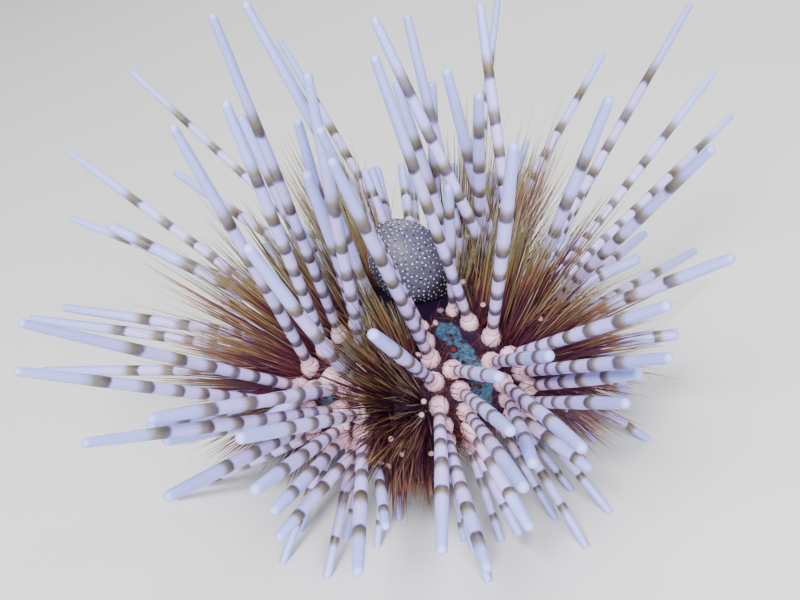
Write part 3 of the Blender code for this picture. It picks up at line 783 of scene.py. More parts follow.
def skin_finish(settings):
    """Dark maroon skin, blue-black by the sac, with a spotted teal stripe down each wide area."""
    made, tree, shader = finish_of("test skin", IOR=1.33, Specular_IOR_Level=0.15)
    cloud, fine = grain(tree, 260, 4.0), grain(tree, 1500, 4.0)
    # The flanks, the crown and the teal stripes, whose edges are uneven
    colour = blended(tree, cloud, settings.flank, settings.flank_light)
    colour = blended(tree, named(tree, "crown"), colour, settings.crown)
    teal = blended(tree, between(tree, fine, 0.35, 0.7), settings.stripe, settings.stripe_light)
    uneven = plus(tree, named(tree, "stripe"), scaled(tree, cloud, 0.8, -0.4))
    colour = blended(tree, between(tree, uneven, 0.42, 0.62), colour, teal)
    # Dark spots with red hearts in about a quarter of the cells, and fine dark specks
    far, draw = cells(tree, 300)
    rim = times(tree, between(tree, draw, 0.72, 0.75), faded(tree, far, 0.27, 0.36))
    colour = blended(tree, rim, colour, settings.spot_rim)
    heart = times(tree, rim, faded(tree, far, 0.14, 0.22))
    colour = blended(tree, heart, colour, settings.spot)
    near, _ = cells(tree, 640)
    speck = faded(tree, plus(tree, near, scaled(tree, fine, 0.5, -0.25)), 0.16, 0.3)
    colour = blended(tree, times(tree, speck, 0.5), colour, settings.spot_rim)
    colour = stripe_spots(tree, colour, settings)
    # The bare knob, the membrane of the mouth and the skin at the foot of a spine
    bare = faded(tree, distance_share(tree, KNOB_PLACE, KNOB_RADIUS), 0.75, 1.0)
    colour = blended(tree, bare, colour, settings.knob)
    lip = blended(tree, between(tree, fine, 0.45, 0.6), settings.mouth, settings.mouth_light)
    colour = blended(tree, named(tree, "mouth"), colour, lip)
    colour = blended(tree, times(tree, named(tree, "boss"), 0.6), colour, settings.boss)
    painted(tree, shader, colour, scaled(tree, fine, 0.3, 0.25))
    raised(tree, shader, plus(tree, fine, times(tree, cloud, 0.6)), 0.4 * MM, 0.7)
    return made


def sac_finish(settings):
    """Grey-mauve skin, finely wrinkled, browner at the anus and darker at the foot."""
    made, tree, shader = finish_of("sac skin", IOR=1.42)
    along = named(tree, "along")
    cloud, fine = grain(tree, 300, 4.0), grain(tree, 2400, 5.0)
    colour = blended(tree, cloud, settings.skin, settings.skin_light)
    colour = blended(tree, times(tree, fine, 0.5), colour, settings.crease)
    colour = blended(tree, between(tree, along, 0.8, 0.98), colour, settings.foot)
    colour = blended(tree, faded(tree, along, 0.05, 0.14), colour, settings.anus)
    painted(tree, shader, colour, scaled(tree, fine, 0.3, 0.3))
    raised(tree, shader, fine, 0.2 * MM, 0.6)
    return made


def plain_finish(name, colour, deep, scale, roughness):
    """One colour that runs to a deeper one by fine grain, with a little bump."""
    made, tree, shader = finish_of(name, Roughness=roughness, IOR=1.5)
    fine = grain(tree, scale, 4.0)
    shade = blended(tree, between(tree, fine, 0.35, 0.75), colour, deep)
    tree.links.new(shade, shader.inputs["Base Color"])
    raised(tree, shader, fine, 0.15 * MM, 0.4)
    return made


def tree_with(name, inputs):
    """A geometry tree with its named inputs, and the sockets that they give."""
    tree = bpy.data.node_groups.new(name, "GeometryNodeTree")
    wanted = (("Geometry", "NodeSocketGeometry", None), *inputs)
    for label, kind, value in wanted:
        socket = tree.interface.new_socket(label, in_out="INPUT", socket_type=kind)
        if value is not None:
            socket.default_value = value
    tree.interface.new_socket("Geometry", in_out="OUTPUT", socket_type="NodeSocketGeometry")
    return tree, tree.nodes.new("NodeGroupInput").outputs


def close_tree(tree, geometry, material):
    """Ends a tree in realized instances with their material."""
    real = add_node(tree, "GeometryNodeRealizeInstances", {"Geometry": geometry})
    dressed = {"Geometry": real.outputs[0], "Material": material}
    last = add_node(tree, "GeometryNodeSetMaterial", dressed)
    add_node(tree, "NodeGroupOutput", {"Geometry": last.outputs[0]})
    return tree


def stored(tree, geometry, name, value):
    """A geometry with a number stored on its points."""
    inputs = {"Geometry": geometry, "Name": name, "Value": value}
    settings = {"data_type": "FLOAT", "domain": "POINT"}
    return add_node(tree, "GeometryNodeStoreNamedAttribute", inputs, **settings).outputs[0]


def swept_tree():
    """Sweeps a ribbed ring along each line of a guide, as wide as the line's thickness says."""
    inputs = (
        ("Sides", "NodeSocketInt", 8),
        ("Rib Depth", "NodeSocketFloat", 0.0),
        ("Material", "NodeSocketMaterial", None),
    )
    tree, given = tree_with("swept spines", inputs)
    lines = add_node(tree, "GeometryNodeMeshToCurve", {"Mesh": given["Geometry"]})
    shape = {"Resolution": given["Sides"], "Radius": 1.0}
    ring = add_node(tree, "GeometryNodeCurvePrimitiveCircle", shape, mode="RADIUS")
    index = add_node(tree, "GeometryNodeInputIndex").outputs[0]
    furrow = maths(tree, "MODULO", index, 2.0)
    sunk = times(tree, times(tree, furrow, given["Rib Depth"]), -1.0)
    place = add_node(tree, "GeometryNodeInputPosition").outputs[0]
    offset = add_node(tree, "ShaderNodeVectorMath", {0: place, "Scale": sunk}, operation="SCALE")
    moved = {"Geometry": ring.outputs[0], "Offset": offset.outputs[0]}
    ribbed = add_node(tree, "GeometryNodeSetPosition", moved).outputs[0]
    # The grooves are stored too, for the painted shade that the spine finish lays in them
    ribbed = stored(tree, ribbed, "furrow", furrow)
    ribbed = stored(tree, ribbed, "around", maths(tree, "DIVIDE", index, given["Sides"]))
    thickness = {"Name": "thickness"}
    width = add_node(tree, "GeometryNodeInputNamedAttribute", thickness, data_type="FLOAT")
    sweep = {"Curve": lines.outputs[0], "Profile Curve": ribbed, "Scale": width.outputs[0]}
    swept = add_node(tree, "GeometryNodeCurveToMesh", {**sweep, "Fill Caps": True})
    return close_tree(tree, swept.outputs[0], given["Material"])


def dotted_tree():
    """Sets low domes over a surface, no nearer to each other than the spacing."""
    inputs = (
        ("Spacing", "NodeSocketFloat", 1 * MM),
        ("Dot Radius", "NodeSocketFloat", 0.3 * MM),
        ("Flatness", "NodeSocketFloat", DOT_FLATNESS),
        ("Seed", "NodeSocketInt", 1),
        ("Material", "NodeSocketMaterial", None),
    )
    tree, given = tree_with("scattered dots", inputs)
    spread = {
        "Mesh": given["Geometry"],
        "Distance Min": given["Spacing"],
        "Density Max": DOTS_PER_SQUARE_METRE,
        "Density Factor": 1.0,
        "Seed": given["Seed"],
    }
    kind = "GeometryNodeDistributePointsOnFaces"
    scatter = add_node(tree, kind, spread, distribute_method="POISSON")
    dome = add_node(tree, "GeometryNodeMeshIcoSphere", {"Radius": 1.0, "Subdivisions": 2})
    sizes = {2: 0.7, 3: 1.2, "Seed": given["Seed"]}
    size = add_node(tree, "FunctionNodeRandomValue", sizes, data_type="FLOAT").outputs[1]
    wide = times(tree, size, given["Dot Radius"])
    high = times(tree, wide, given["Flatness"])
    set_out = {
        "Points": scatter.outputs["Points"],
        "Instance": dome.outputs[0],
        "Rotation": scatter.outputs["Rotation"],
        "Scale": add_node(tree, "ShaderNodeCombineXYZ", {0: wide, 1: wide, 2: high}).outputs[0],
    }
    placed = add_node(tree, "GeometryNodeInstanceOnPoints", set_out)
    return close_tree(tree, placed.outputs[0], given["Material"])


def object_of(name, mesh):
    made = bpy.data.objects.new(name, mesh)
    bpy.context.scene.collection.objects.link(made)
    return made


def grown(name, source, tree, values):
    """The plain piece that a geometry tree grows from a source mesh."""
    seed = object_of(name, source)
    modifier = seed.modifiers.new("grow", "NODES")
    modifier.node_group = tree
    for item in tree.interface.items_tree:
        if item.in_out == "INPUT" and item.name in values:
            modifier[item.identifier] = values[item.name]
    graph = bpy.context.evaluated_depsgraph_get()
    mesh = bpy.data.meshes.new_from_object(
        seed.evaluated_get(graph), preserve_all_data_layers=True, depsgraph=graph
    )
    seed.modifiers.remove(modifier)
    seed.data = mesh
    mesh.name = name
    mesh.shade_smooth()
    return seed


def guide_mesh(name, lines):
    """Open lines as one mesh: each has its points and the attributes that go with them."""
    counts = [len(points) for points, _ in lines]
    starts = np.concatenate([[0], np.cumsum(counts)[:-1]])
    edges = []
    for start, count in zip(starts, counts):
        steps = np.arange(start, start + count - 1)
        edges.append(np.stack([steps, steps + 1], axis=1))
    mesh = bpy.data.meshes.new(name)
    points = np.concatenate([points for points, _ in lines])
    mesh.from_pydata(points.tolist(), np.concatenate(edges).tolist(), [])
    for key in lines[0][1]:
        values = [np.broadcast_to(line[key], count) for (_, line), count in zip(lines, counts)]
        write_attribute(mesh, key, np.concatenate(values))
    return mesh


def write_attribute(mesh, name, values):
    attribute = mesh.attributes.new(name, "FLOAT", "POINT")
    attribute.data.foreach_set("value", values.astype(np.float32))


def read_all(items, key, kind=np.float32, each=1):
    """What every item of a mesh holds under a key, so many numbers each, in one row."""
    values = np.empty(len(items) * each, kind)
    items.foreach_get(key, values)
    return values


def read_attribute(mesh, name):
    return read_all(mesh.attributes[name].data, "value")


def corner_turns(mesh):
    """Each face corner's vertex, its turn round its spine and whether its face is a flat cap.

    A turn is a share of the whole round, and the seam's far end has 1 or more.
    """
    vertex = read_all(mesh.loops, "vertex_index", np.int32)
    starts = read_all(mesh.polygons, "loop_start", np.int32)
    totals = read_all(mesh.polygons, "loop_total", np.int32)
    around = read_attribute(mesh, "around")[vertex]
    along = read_attribute(mesh, "along")[vertex]
    spread = np.maximum.reduceat(around, starts) - np.minimum.reduceat(around, starts)
    level = np.maximum.reduceat(along, starts) - np.minimum.reduceat(along, starts) < 1e-9
    cap = np.repeat(level, totals)
    seam = np.repeat(spread > 0.5, totals) & ~cap
    return vertex, np.where(seam & (around < 0.5), around + 1, around), cap


def map_strips(mesh, lines):
    """The bake's map for large spines: a strip for each, side by side, with caps as discs."""
    vertex, around, cap = corner_turns(mesh)
    along = read_attribute(mesh, "along")[vertex]
    line = read_attribute(mesh, "line")[vertex]
    across = np.where(cap, 0.5 + 0.4 * np.cos(2 * pi * around), around)
    up = np.where(cap, 0.006 * np.sin(2 * pi * around) + along, along)
    write_map(mesh, (line + 0.05 + 0.9 * across) / lines, 0.01 + 0.98 * up)


def map_patches(mesh):
    """The bake's map for tufts: a small patch for each, at its root's place on the skin."""
    vertex, around, cap = corner_turns(mesh)
    along = read_attribute(mesh, "along")[vertex]
    across = np.where(cap, 0.5 + 0.3 * np.cos(2 * pi * around), around)
    up = np.where(cap, 0.05 * np.sin(2 * pi * around) + along, along)
    write_map(
        mesh,
        read_attribute(mesh, "root_u")[vertex] + TUFT_PATCH * (across - 0.5),
        read_attribute(mesh, "root_v")[vertex] + TUFT_PATCH * (up - 0.5),
    )


def write_map(mesh, across, up):
    layer = mesh.uv_layers.new(name="OFBake", do_init=False)
    places = np.stack([np.clip(across, 0, 1), np.clip(up, 0, 1)], axis=1)
    layer.uv.foreach_set("vector", places.astype(np.float32).ravel())


def skin_place(points):
    """A point's place on the unwrapped skin: the turn round the axis and the share down it."""
    turn = np.arctan2(points[..., 1], points[..., 0]) / (2 * pi) % 1.0
    flat = np.hypot(points[..., 0], points[..., 1]) / TEST_RADIUS
    height = points[..., 2] - AMBITUS_HEIGHT
    rise = height / np.where(height > 0, TEST_RISE, TEST_DROP)
    return turn, np.arctan2(flat, rise) / pi


def tuft_facts(root, thickness, along, shift=0.0):
    """The attributes of a thin piece's guide: where on the skin it stands is for the bake."""
    turn, down = skin_place(root)
    return {
        "thickness": thickness,
        "along": along,
        "shift": shift,
        "root_u": turn,
        "root_v": down,
    }


def tuft_line(root, direction, length, thickness, shift, bend, pieces):
    """One tapering hair's guide, bent towards its tip; shift moves its colours down it."""
    share = np.linspace(0, 1, pieces + 1)
    bow = share[:, None] ** 2 * bend
    points = root + AXIS + (share * length)[:, None] * direction + bow
    taper = thickness * (1 - share) ** 0.7 + 0.1 * thickness * share
    return points, tuft_facts(root, taper, share, shift)


def spine_profile(length, size, shaft, tip, flat_end):
    """Distances and radii along a primary spine, and where its shaft starts above the bulb."""
    waist = min(shaft, WAIST_RADIUS * size)
    start = (LONG_FOOT if length > STUB_LENGTH else SHORT_FOOT) * size
    keys = [(-ROOT_DEPTH * size, ROOT_RADIUS * size)]
    keys += [(high * MM * size, wide * BULB_RADIUS * size) for high, wide in BULB_FORM]
    keys += [(start, waist), (0.3 * length, 0.55 * waist + 0.45 * shaft)]
    keys += [(THICKEST_AT * length, shaft), (0.92 * length, 0.3 * shaft + 0.7 * tip)]
    keys += [(length - 0.9 * tip, tip)]
    if flat_end:
        keys = [key for key in keys if key[0] < 0.6 * length] + [(length, tip)]
    else:
        keys += [(length - back * tip, wide * tip) for back, wide in TIP_FORM]
    return keys, start


def spine_guide(spine, line, draw, banded):
    """A primary spine's guide: where each ring stands, how wide it is and its bands."""
    root, direction, stations, foot = spine
    length, tip = stations[-1]
    size = stations[1][1] / BULB_RADIUS
    keys, start = spine_profile(length, size, stations[-2][1], tip, foot)
    low = [key[0] for key in keys if key[0] < start + 0.1 * MM]
    middle = np.linspace(start + 1.2 * MM, length - 1.2 * tip, SHAFT_RINGS)
    high = [key[0] for key in keys if key[0] > length - tip]
    along = np.unique(np.concatenate([low, middle, high]))
    wide = np.interp(along, [key[0] for key in keys], [key[1] for key in keys])
    bow = draw.uniform(-SPINE_BOW, SPINE_BOW) * length
    side, _ = frame_across(direction)
    arch = np.sin(pi * np.clip(along / length, 0, 1))
    points = root + AXIS + along[:, None] * direction + (bow * arch)[:, None] * side
    reach = (banded + draw.uniform(-0.12, 0.1)) * length - start
    bands = max(2, round(reach / (BAND_STEP * draw.uniform(0.9, 1.12))))
    share = (along - start) / reach
    phase = np.maximum(bands * (1.5 * share - 0.5 * share ** 2), -0.3)
    facts = {
        "thickness": wide,
        "along": (along + ROOT_DEPTH * size) / (length + ROOT_DEPTH * size),
        "from_root": np.maximum(along, 0) / size,
        "band": np.where(share > 1, bands + 0.6 * np.clip(6 * share - 6, 0, 1), phase),
        "pick": draw.random(),
        "line": line,
    }
    return points, facts


def near_lines(root, end, lines):
    """The spare distance from a line to the nearest of many, given as ends and radii."""
    starts, ends, radii = lines
    return float((axis_distances(root, end, starts, ends) - radii).min())


def hides_sac(root, aim, reach):
    """Whether a thin spine would cross the viewer's sight of the anal sac."""
    right, up, towards = view_axes()
    offsets = root - SAC_CENTRE + np.outer(np.linspace(0.1, 1, 10) * reach, aim)
    spread = np.hypot(offsets @ right, offsets @ up)
    return bool(((spread < SAC_CLEARANCE) & (offsets @ towards > 0)).any())


def side_bend(aim, reach, amount, draw):
    """How far a thin piece's tip is bent aside, as a vector across its aim."""
    side, over = frame_across(aim)
    return reach * (draw.gauss(0, amount) * side + draw.gauss(0, amount) * over)


def needle_tufts(draw):
    """Each tuft's angle from the apex, place across its area, lean, turn and height."""
    tufts = []
    for tuft in range(TUFTS_PER_AREA):
        polar = radians(NEEDLES_FROM + NEEDLES_SPAN * (tuft + draw.random()) / TUFTS_PER_AREA)
        share = draw.choice((-1, 1)) * draw.uniform(0.2, 0.85)
        lean = radians(draw.uniform(0, TUFT_LEAN))
        tufts.append((polar, share, lean, draw.uniform(0, 2 * pi), draw.uniform(0.72, 1.08)))
    return tufts


def needle_shift(angle, draw):
    """How far a needle's colours are moved: paler ones by the apex, redder ones lower down."""
    shift = draw.uniform(-0.16, 0.02) - 0.42 * max(0, min(1, (angle - 42) / 44))
    # Near the apex, and for a few strays, the tips run into the pale glint stop, a painted
    # highlight
    shift += 0.14 * max(0, min(1, (44 - angle) / 20)) + draw.choice(STRAY_SHIFTS)
    return shift


def needle_guides(area, settings):
    """A fan of needles from one ambulacrum: most stand in tufts that lean together."""
    draw = random.Random(NEEDLE_SEED + area)
    taken = (CROWD.starts, CROWD.ends, CROWD.radii * 0.9)
    tufts = needle_tufts(draw)
    lines = []
    for _ in range(settings.per_area * NEEDLE_TRIES):
        if len(lines) == settings.per_area:
            break
        polar, share, lean, turn, tall = draw.choice(tufts)
        loose = draw.random() < LOOSE_NEEDLES
        polar += radians(draw.gauss(0, HEIGHT_STRAY))
        share = max(-0.95, min(0.95, share + draw.gauss(0, ACROSS_STRAY)))
        azimuth = radians(AMBULACRA[area] + share * NARROW_HALF_ANGLE)
        root = test_point(polar, azimuth)
        angle = degrees(polar)
        fullest = 1 - max(angle - FULLEST_AT, 0) / 105 - max(FULLEST_AT - angle, 0) / 130
        reach = settings.longest * NEEDLE_SHARE[area] * fullest * tall
        reach *= draw.choice((0.5, 0.8, 1, 1)) * draw.uniform(0.75, 1.04)
        upright = unit(test_normal(polar, azimuth) + 0.25 * UP * (1 - angle / 90))
        if loose:
            lean, turn = radians(draw.uniform(2, LOOSE_LEAN)), draw.uniform(0, 2 * pi)
        aim = turned(upright, lean, turn)
        aim = turned(aim, radians(abs(draw.gauss(0, AIM_STRAY))), draw.uniform(0, 2 * pi))
        aim = above_floor(root, aim, reach, 2 * FLOOR_CLEARANCE)
        if near_lines(root + 2 * MM * aim, root + reach * aim, taken) < settings.thickness:
            continue
        if hides_sac(root, aim, reach):
            continue
        bend = side_bend(aim, reach, NEEDLE_BEND, draw)
        wide = settings.thickness * draw.choice((0.75, 0.9, 1.0, 1.25))
        root = root - NEEDLE_SUNK * aim
        lines.append(tuft_line(root, aim, reach, wide, needle_shift(angle, draw), bend, 4))
    return guide_mesh(f"needles {area}", lines)


def hair_guides(settings):
    """Fine short hairs round the foot of every primary spine."""
    draw = random.Random(HAIR_SEED)
    lines = []
    for spines in SPINES.values():
        for root, direction, stations, _ in spines:
            size = stations[1][1] / BULB_RADIUS
            across, over = frame_across(direction)
            for _ in range(settings.per_foot):
                turn = draw.uniform(0, 2 * pi)
                out = cos(turn) * across + sin(turn) * over
                foot = root + (HAIR_RING * size * draw.uniform(0.95, 1.35)) * out
                sweep = draw.uniform(-0.8, 0.8) * (cos(turn) * over - sin(turn) * across)
                aim = unit(direction + draw.uniform(0.3, 1.5) * out + sweep)
                reach = settings.length * draw.uniform(0.5, 1.2) * (0.5 + 0.5 * size)
                aim = above_floor(foot, aim, reach, FLOOR_CLEARANCE)
                if hides_sac(foot, aim, reach):
                    continue
                side, _ = frame_across(aim)
                bend = reach * draw.gauss(0, HAIR_BEND) * side
                wide = settings.thickness * draw.uniform(0.7, 1.2)
                shift = draw.uniform(-0.25, 0.25)
                foot = foot - HAIR_SUNK * aim
                lines.append(tuft_line(foot, aim, reach, wide, shift, bend, 3))
    return guide_mesh("hairs", lines)


def foot_guides(settings):
    """Tube feet in two rows down each ambulacrum, each ending in a sucker."""
    draw = random.Random(FOOT_SEED)
    steps, widths = np.array(FOOT_FORM).T
    lines = []
    for middle in AMBULACRA.values():
        for row in range(settings.per_row):
            for share in FOOT_ROWS:
                polar = radians(FEET_FROM + FEET_SPAN * (row + draw.random()) / settings.per_row)
                azimuth = radians(middle + share * NARROW_HALF_ANGLE)
                root = test_point(polar, azimuth)
                lean = radians(draw.uniform(0, FOOT_LEAN))
                aim = turned(test_normal(polar, azimuth), lean, draw.uniform(0, 2 * pi))
                reach = settings.length * draw.uniform(0.5, 1.2)
                aim = above_floor(root, aim, reach, 2 * FLOOR_CLEARANCE)
                bend = side_bend(aim, reach, FOOT_BEND, draw)
                bend[2] = max(bend[2], 0)
                points = root + AXIS + (steps * reach)[:, None] * aim + steps[:, None] ** 2 * bend
                facts = tuft_facts(root, settings.thickness * widths, steps / steps[-1])
                lines.append((points, facts))
    return guide_mesh("tube feet", lines)


def skin_section(settings):
    """The skin's section from the apex to the pit of the mouth, as (radius, height, mouth)."""
    end = pi - asin(MOUTH_RADIUS / TEST_RADIUS)
    section = []
    for step in range(settings.rows + 1):
        polar = end * step / settings.rows
        height = AMBITUS_HEIGHT + test_half_height(polar) * cos(polar)
        section.append((TEST_RADIUS * sin(polar), min(height, DISC_TOP), 0.0))
    for radius, height in MOUTH_FORM:
        section.append((radius * MM, height * MM, 1.0))
    return np.array(section)


def noise_at(points, scale):
    return np.array([noise.noise(Vector(point) * scale) for point in points])


def ring_faces(rings, columns):
    """Faces of a closed form of rings; its first and last point follow all of the rings'."""
    faces = []
    for ring in range(rings - 1):
        for column in range(columns):
            after = (column + 1) % columns
            here, below = ring * columns, (ring + 1) * columns
            faces.append((here + column, below + column, below + after, here + after))
    top, bottom, last = rings * columns, rings * columns + 1, (rings - 1) * columns
    for column in range(columns):
        after = (column + 1) % columns
        faces.append((top, column, after))
        faces.append((bottom, last + after, last + column))
    return faces


def skin_mesh(settings):
    """One closed skin over the test, the mouth's membrane and the disc under the sac."""
    section = skin_section(settings)
    columns = settings.columns
    turns = 2 * pi * np.arange(columns) / columns
    flat = section[1:-1]
    ring = np.stack([np.cos(turns), np.sin(turns), np.zeros(columns)], axis=1)
    points = flat[:, 0][:, None, None] * ring + (flat[:, 1][:, None] * UP)[:, None, :]
    points = np.concatenate([points.reshape(-1, 3), [section[0][1] * UP, section[-1][1] * UP]])
    mouth = np.append(np.repeat(flat[:, 2], columns), (0.0, 1.0))
    mesh = bpy.data.meshes.new("test skin")
    mesh.from_pydata(points.tolist(), [], ring_faces(len(flat), columns))
    normals = read_all(mesh.vertex_normals, "vector", each=3).reshape(-1, 3)
    marks, lift = skin_marks(points, mouth, settings)
    mesh.vertices.foreach_set("co", (points + AXIS + lift[:, None] * normals).ravel())
    for key, values in marks.items():
        write_attribute(mesh, key, values)
    mesh.shade_smooth()
    mesh.update()
    return mesh


def skin_marks(points, mouth, settings):
    """Where the skin has its stripes, crown, mouth and bosses, and how far each point rises."""
    turn, down = skin_place(points)
    angle = 180 * down
    flat = np.hypot(points[:, 0], points[:, 1])
    offset = np.full(len(points), 1.0)
    for middle in INTERAMBULACRA.values():
        away = (turn - middle / 360 + 0.5) % 1.0 - 0.5
        offset = np.minimum(offset, np.abs(np.sin(2 * pi * away)) * flat + (np.abs(away) > 0.2))
    stripe = np.clip(1 - offset / (2 * settings.stripe_half_width), 0, 1)
    stripe *= np.clip((angle - STRIPE_FROM) / 10, 0, 1) * np.clip((STRIPE_TO - angle) / 26, 0, 1)
    boss = np.zeros(len(points))
    for spines in SPINES.values():
        for root, _, stations, _ in spines:
            size = stations[1][1] / BULB_RADIUS
            near = 1 - np.linalg.norm(points - root, axis=1) / (BOSS_RADIUS * size)
            near = np.clip(near / 0.5, 0, 1)
            boss = np.maximum(boss, near * near * (3 - 2 * near))
    folded = mouth * (flat > FOLDS_FROM) * (flat < FOLDS_TO)
    lift = settings.boss_height * boss + LUMP_HEIGHT * noise_at(points, 420) * (1 - mouth)
    lift += FOLD_HEIGHT * folded * np.sin(2 * pi * MOUTH_FOLDS * turn)
    knob = 1 - np.linalg.norm(points - np.array(KNOB_PLACE), axis=1) / KNOB_RADIUS
    lift += KNOB_HEIGHT * np.sqrt(np.clip(knob, 0, 1))
    crown = np.clip((CROWN_TO - angle) / 14, 0, 1)
    return {"stripe": stripe, "crown": crown, "mouth": mouth, "boss": boss}, lift


def sac_rings(axis, foot_middle):
    """The sac's rings, from the pit of the anus down to the foot on the disc."""
    across, over = frame_across(axis)
    turns = 2 * pi * np.arange(SAC_COLUMNS) / SAC_COLUMNS
    around_it = np.cos(turns)[:, None] * across + np.sin(turns)[:, None] * over
    rings = []
    for high, wide in ANUS_FORM:
        pucker = 1 + 0.12 * np.cos(ANUS_FOLDS * turns) * (wide > 0.3)
        ring = wide * MM * pucker[:, None] * around_it
        rings.append(SAC_CENTRE + (SAC_HALF_LENGTH + high * MM) * axis + ring)
    for angle in np.linspace(SAC_FIRST_ANGLE, SAC_LAST_ANGLE, SAC_RINGS):
        ring = SAC_RADIUS * sin(angle) * around_it
        rings.append(SAC_CENTRE + SAC_HALF_LENGTH * cos(angle) * axis + ring)
    level = around_it * (1, 1, 0)
    level /= np.linalg.norm(level, axis=1)[:, None]
    waist, bottom = rings[-1], foot_middle + SAC_FOOT_RADIUS * level
    for share in (0.3, 0.6, 0.85, 1.0):
        rings.append((1 - share) * waist + share * bottom)
    return rings


def sac_mesh():
    """The anal sac: a wrinkled bladder with a puckered rim round the anus and a narrow foot."""
    axis = unit(SAC_LEAN_DIRECTION)
    foot = DISC_TOP - SAC_SUNK
    foot_middle = SAC_CENTRE + axis * (foot - SAC_CENTRE[2]) / axis[2]
    rings = sac_rings(axis, foot_middle)
    pit = SAC_CENTRE + (SAC_HALF_LENGTH - ANUS_DEPTH) * axis
    points = np.concatenate([*rings, [pit, foot_middle]])
    along = np.append(np.repeat(np.linspace(0.03, 1, len(rings)), SAC_COLUMNS), (0.0, 1.0))
    outward = points - (SAC_CENTRE + np.outer((points - SAC_CENTRE) @ axis * 0.6, axis))
    outward /= np.maximum(np.linalg.norm(outward, axis=1), 1e-9)[:, None]
    dent = (0.16 * noise_at(points, 190) + 0.05 * noise_at(points, 900)) * MM
    dent *= np.clip(along * 6 - 0.5, 0, 1) * (along < 0.97)
    points = points + AXIS + dent[:, None] * outward
    mesh = bpy.data.meshes.new("anal sac")
    mesh.from_pydata(points.tolist(), [], ring_faces(len(rings), SAC_COLUMNS))
    write_attribute(mesh, "along", along)
    mesh.shade_smooth()
    return face_outwards(mesh)


def face_outwards(mesh):
    """Turns the faces of a closed mesh over where they enclose less than nothing."""
    if volume_of(mesh) < 0:
        mesh.flip_normals()
    mesh.update()
    return mesh


def volume_of(mesh):
    mesh.calc_loop_triangles()
    places = read_all(mesh.vertices, "co", float, 3).reshape(-1, 3)
    corners = read_all(mesh.loop_triangles, "vertices", np.int32, 3).reshape(-1, 3)
    return np.linalg.det(places[corners]).sum() / 6


def tooth_guides():
    """The five teeth, curved towards each other."""
    share = np.linspace(0, 1, 12)
    thickness = TOOTH_RADIUS * np.interp(share, (0, 0.6, 0.9, 1), (1, 0.85, 0.55, 0.12))
    lines = []
    for middle in INTERAMBULACRA.values():
        out = around(radians(middle))
        root = TOOTH_ROOT_OUT * out + MOUTH_FLOOR * UP
        tip = TOOTH_TIP_OUT * out + (MOUTH_FLOOR - TOOTH_LENGTH) * UP
        points = root + AXIS + share[:, None] * (tip - root)
        points = points + (0.25 * MM * np.sin(pi * share))[:, None] * out
        lines.append((points, tuft_facts(root, thickness, share)))
    return guide_mesh("teeth", lines)


def settle(made, slot, *nodes):
    """Tells the frame what a finished piece rides on and stands for; the slot is not used."""
    face_outwards(made.data)
    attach(made, "root")
    if nodes:
        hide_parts(*nodes)


def grow_tufts(name, guides, values, slot, *nodes):
    """Thin pieces grown along their guides, mapped for the bake and settled in the frame."""
    made = grown(name, guides, swept_tree(), values)
    map_patches(made.data)
    settle(made, slot, *nodes)


def cut_level(mesh):
    """Ends on the floor whatever would reach below it."""
    places = read_all(mesh.vertices, "co", each=3)
    places[2::3] = np.maximum(places[2::3], 0)
    mesh.vertices.foreach_set("co", places)


def colour_property(name, value, description):
    return FloatVectorProperty(
        name=name, description=description, subtype="COLOR", size=3, min=0, max=1, default=value
    )


def length_property(name, value, description):
    return FloatProperty(name=name, description=description, default=value, unit="LENGTH")


def count_property(name, value, least, description):
    return IntProperty(name=name, description=description, default=value, min=least)


def share_property(name, value, limits, description):
    least, most = limits
    return FloatProperty(
        name=name, description=description, subtype="FACTOR", min=least, max=most, default=value
    )


class SkinSettings(bpy.types.PropertyGroup):
    """Sizes and colours of the test's skin."""

    rows: count_property("Rows", 104, 20, "Rings of faces from the apex to the mouth")
    columns: count_property("Columns", 260, 40, "Faces round the axis")
    boss_height: length_property("Boss height", 0.55 * MM, "How far the skin rises round a spine")
    stripe_half_width: length_property(
        "Stripe half width", 2.5 * MM, "Half the width of the bare stripe down each wide area"
    )
    flank: colour_property("Flank", (0.010, 0.003, 0.013), "Dark skin between the spines")
    flank_light: colour_property("Flank light", (0.028, 0.009, 0.023), "Its lighter grain")
    crown: colour_property("Crown", (0.010, 0.004, 0.018), "Skin round the anal sac")
    stripe: colour_property("Stripe", (0.018, 0.046, 0.084), "The bare teal stripe")
    stripe_light: colour_property("Stripe light", (0.046, 0.118, 0.182), "Its lighter grain")
    spot: colour_property("Spot", (0.110, 0.014, 0.018), "Middle of a spot")
    spot_rim: colour_property("Spot rim", (0.008, 0.006, 0.014), "Dark rim of a spot")
    boss: colour_property("Boss", (0.032, 0.010, 0.022), "Skin at the foot of a large spine")
    knob: colour_property("Knob", (0.150, 0.120, 0.160), "The bare knob by the anal sac")
    mouth: colour_property("Mouth", (0.090, 0.030, 0.028), "Membrane of the mouth")
    mouth_light: colour_property("Mouth light", (0.240, 0.130, 0.110), "Its pale grain")


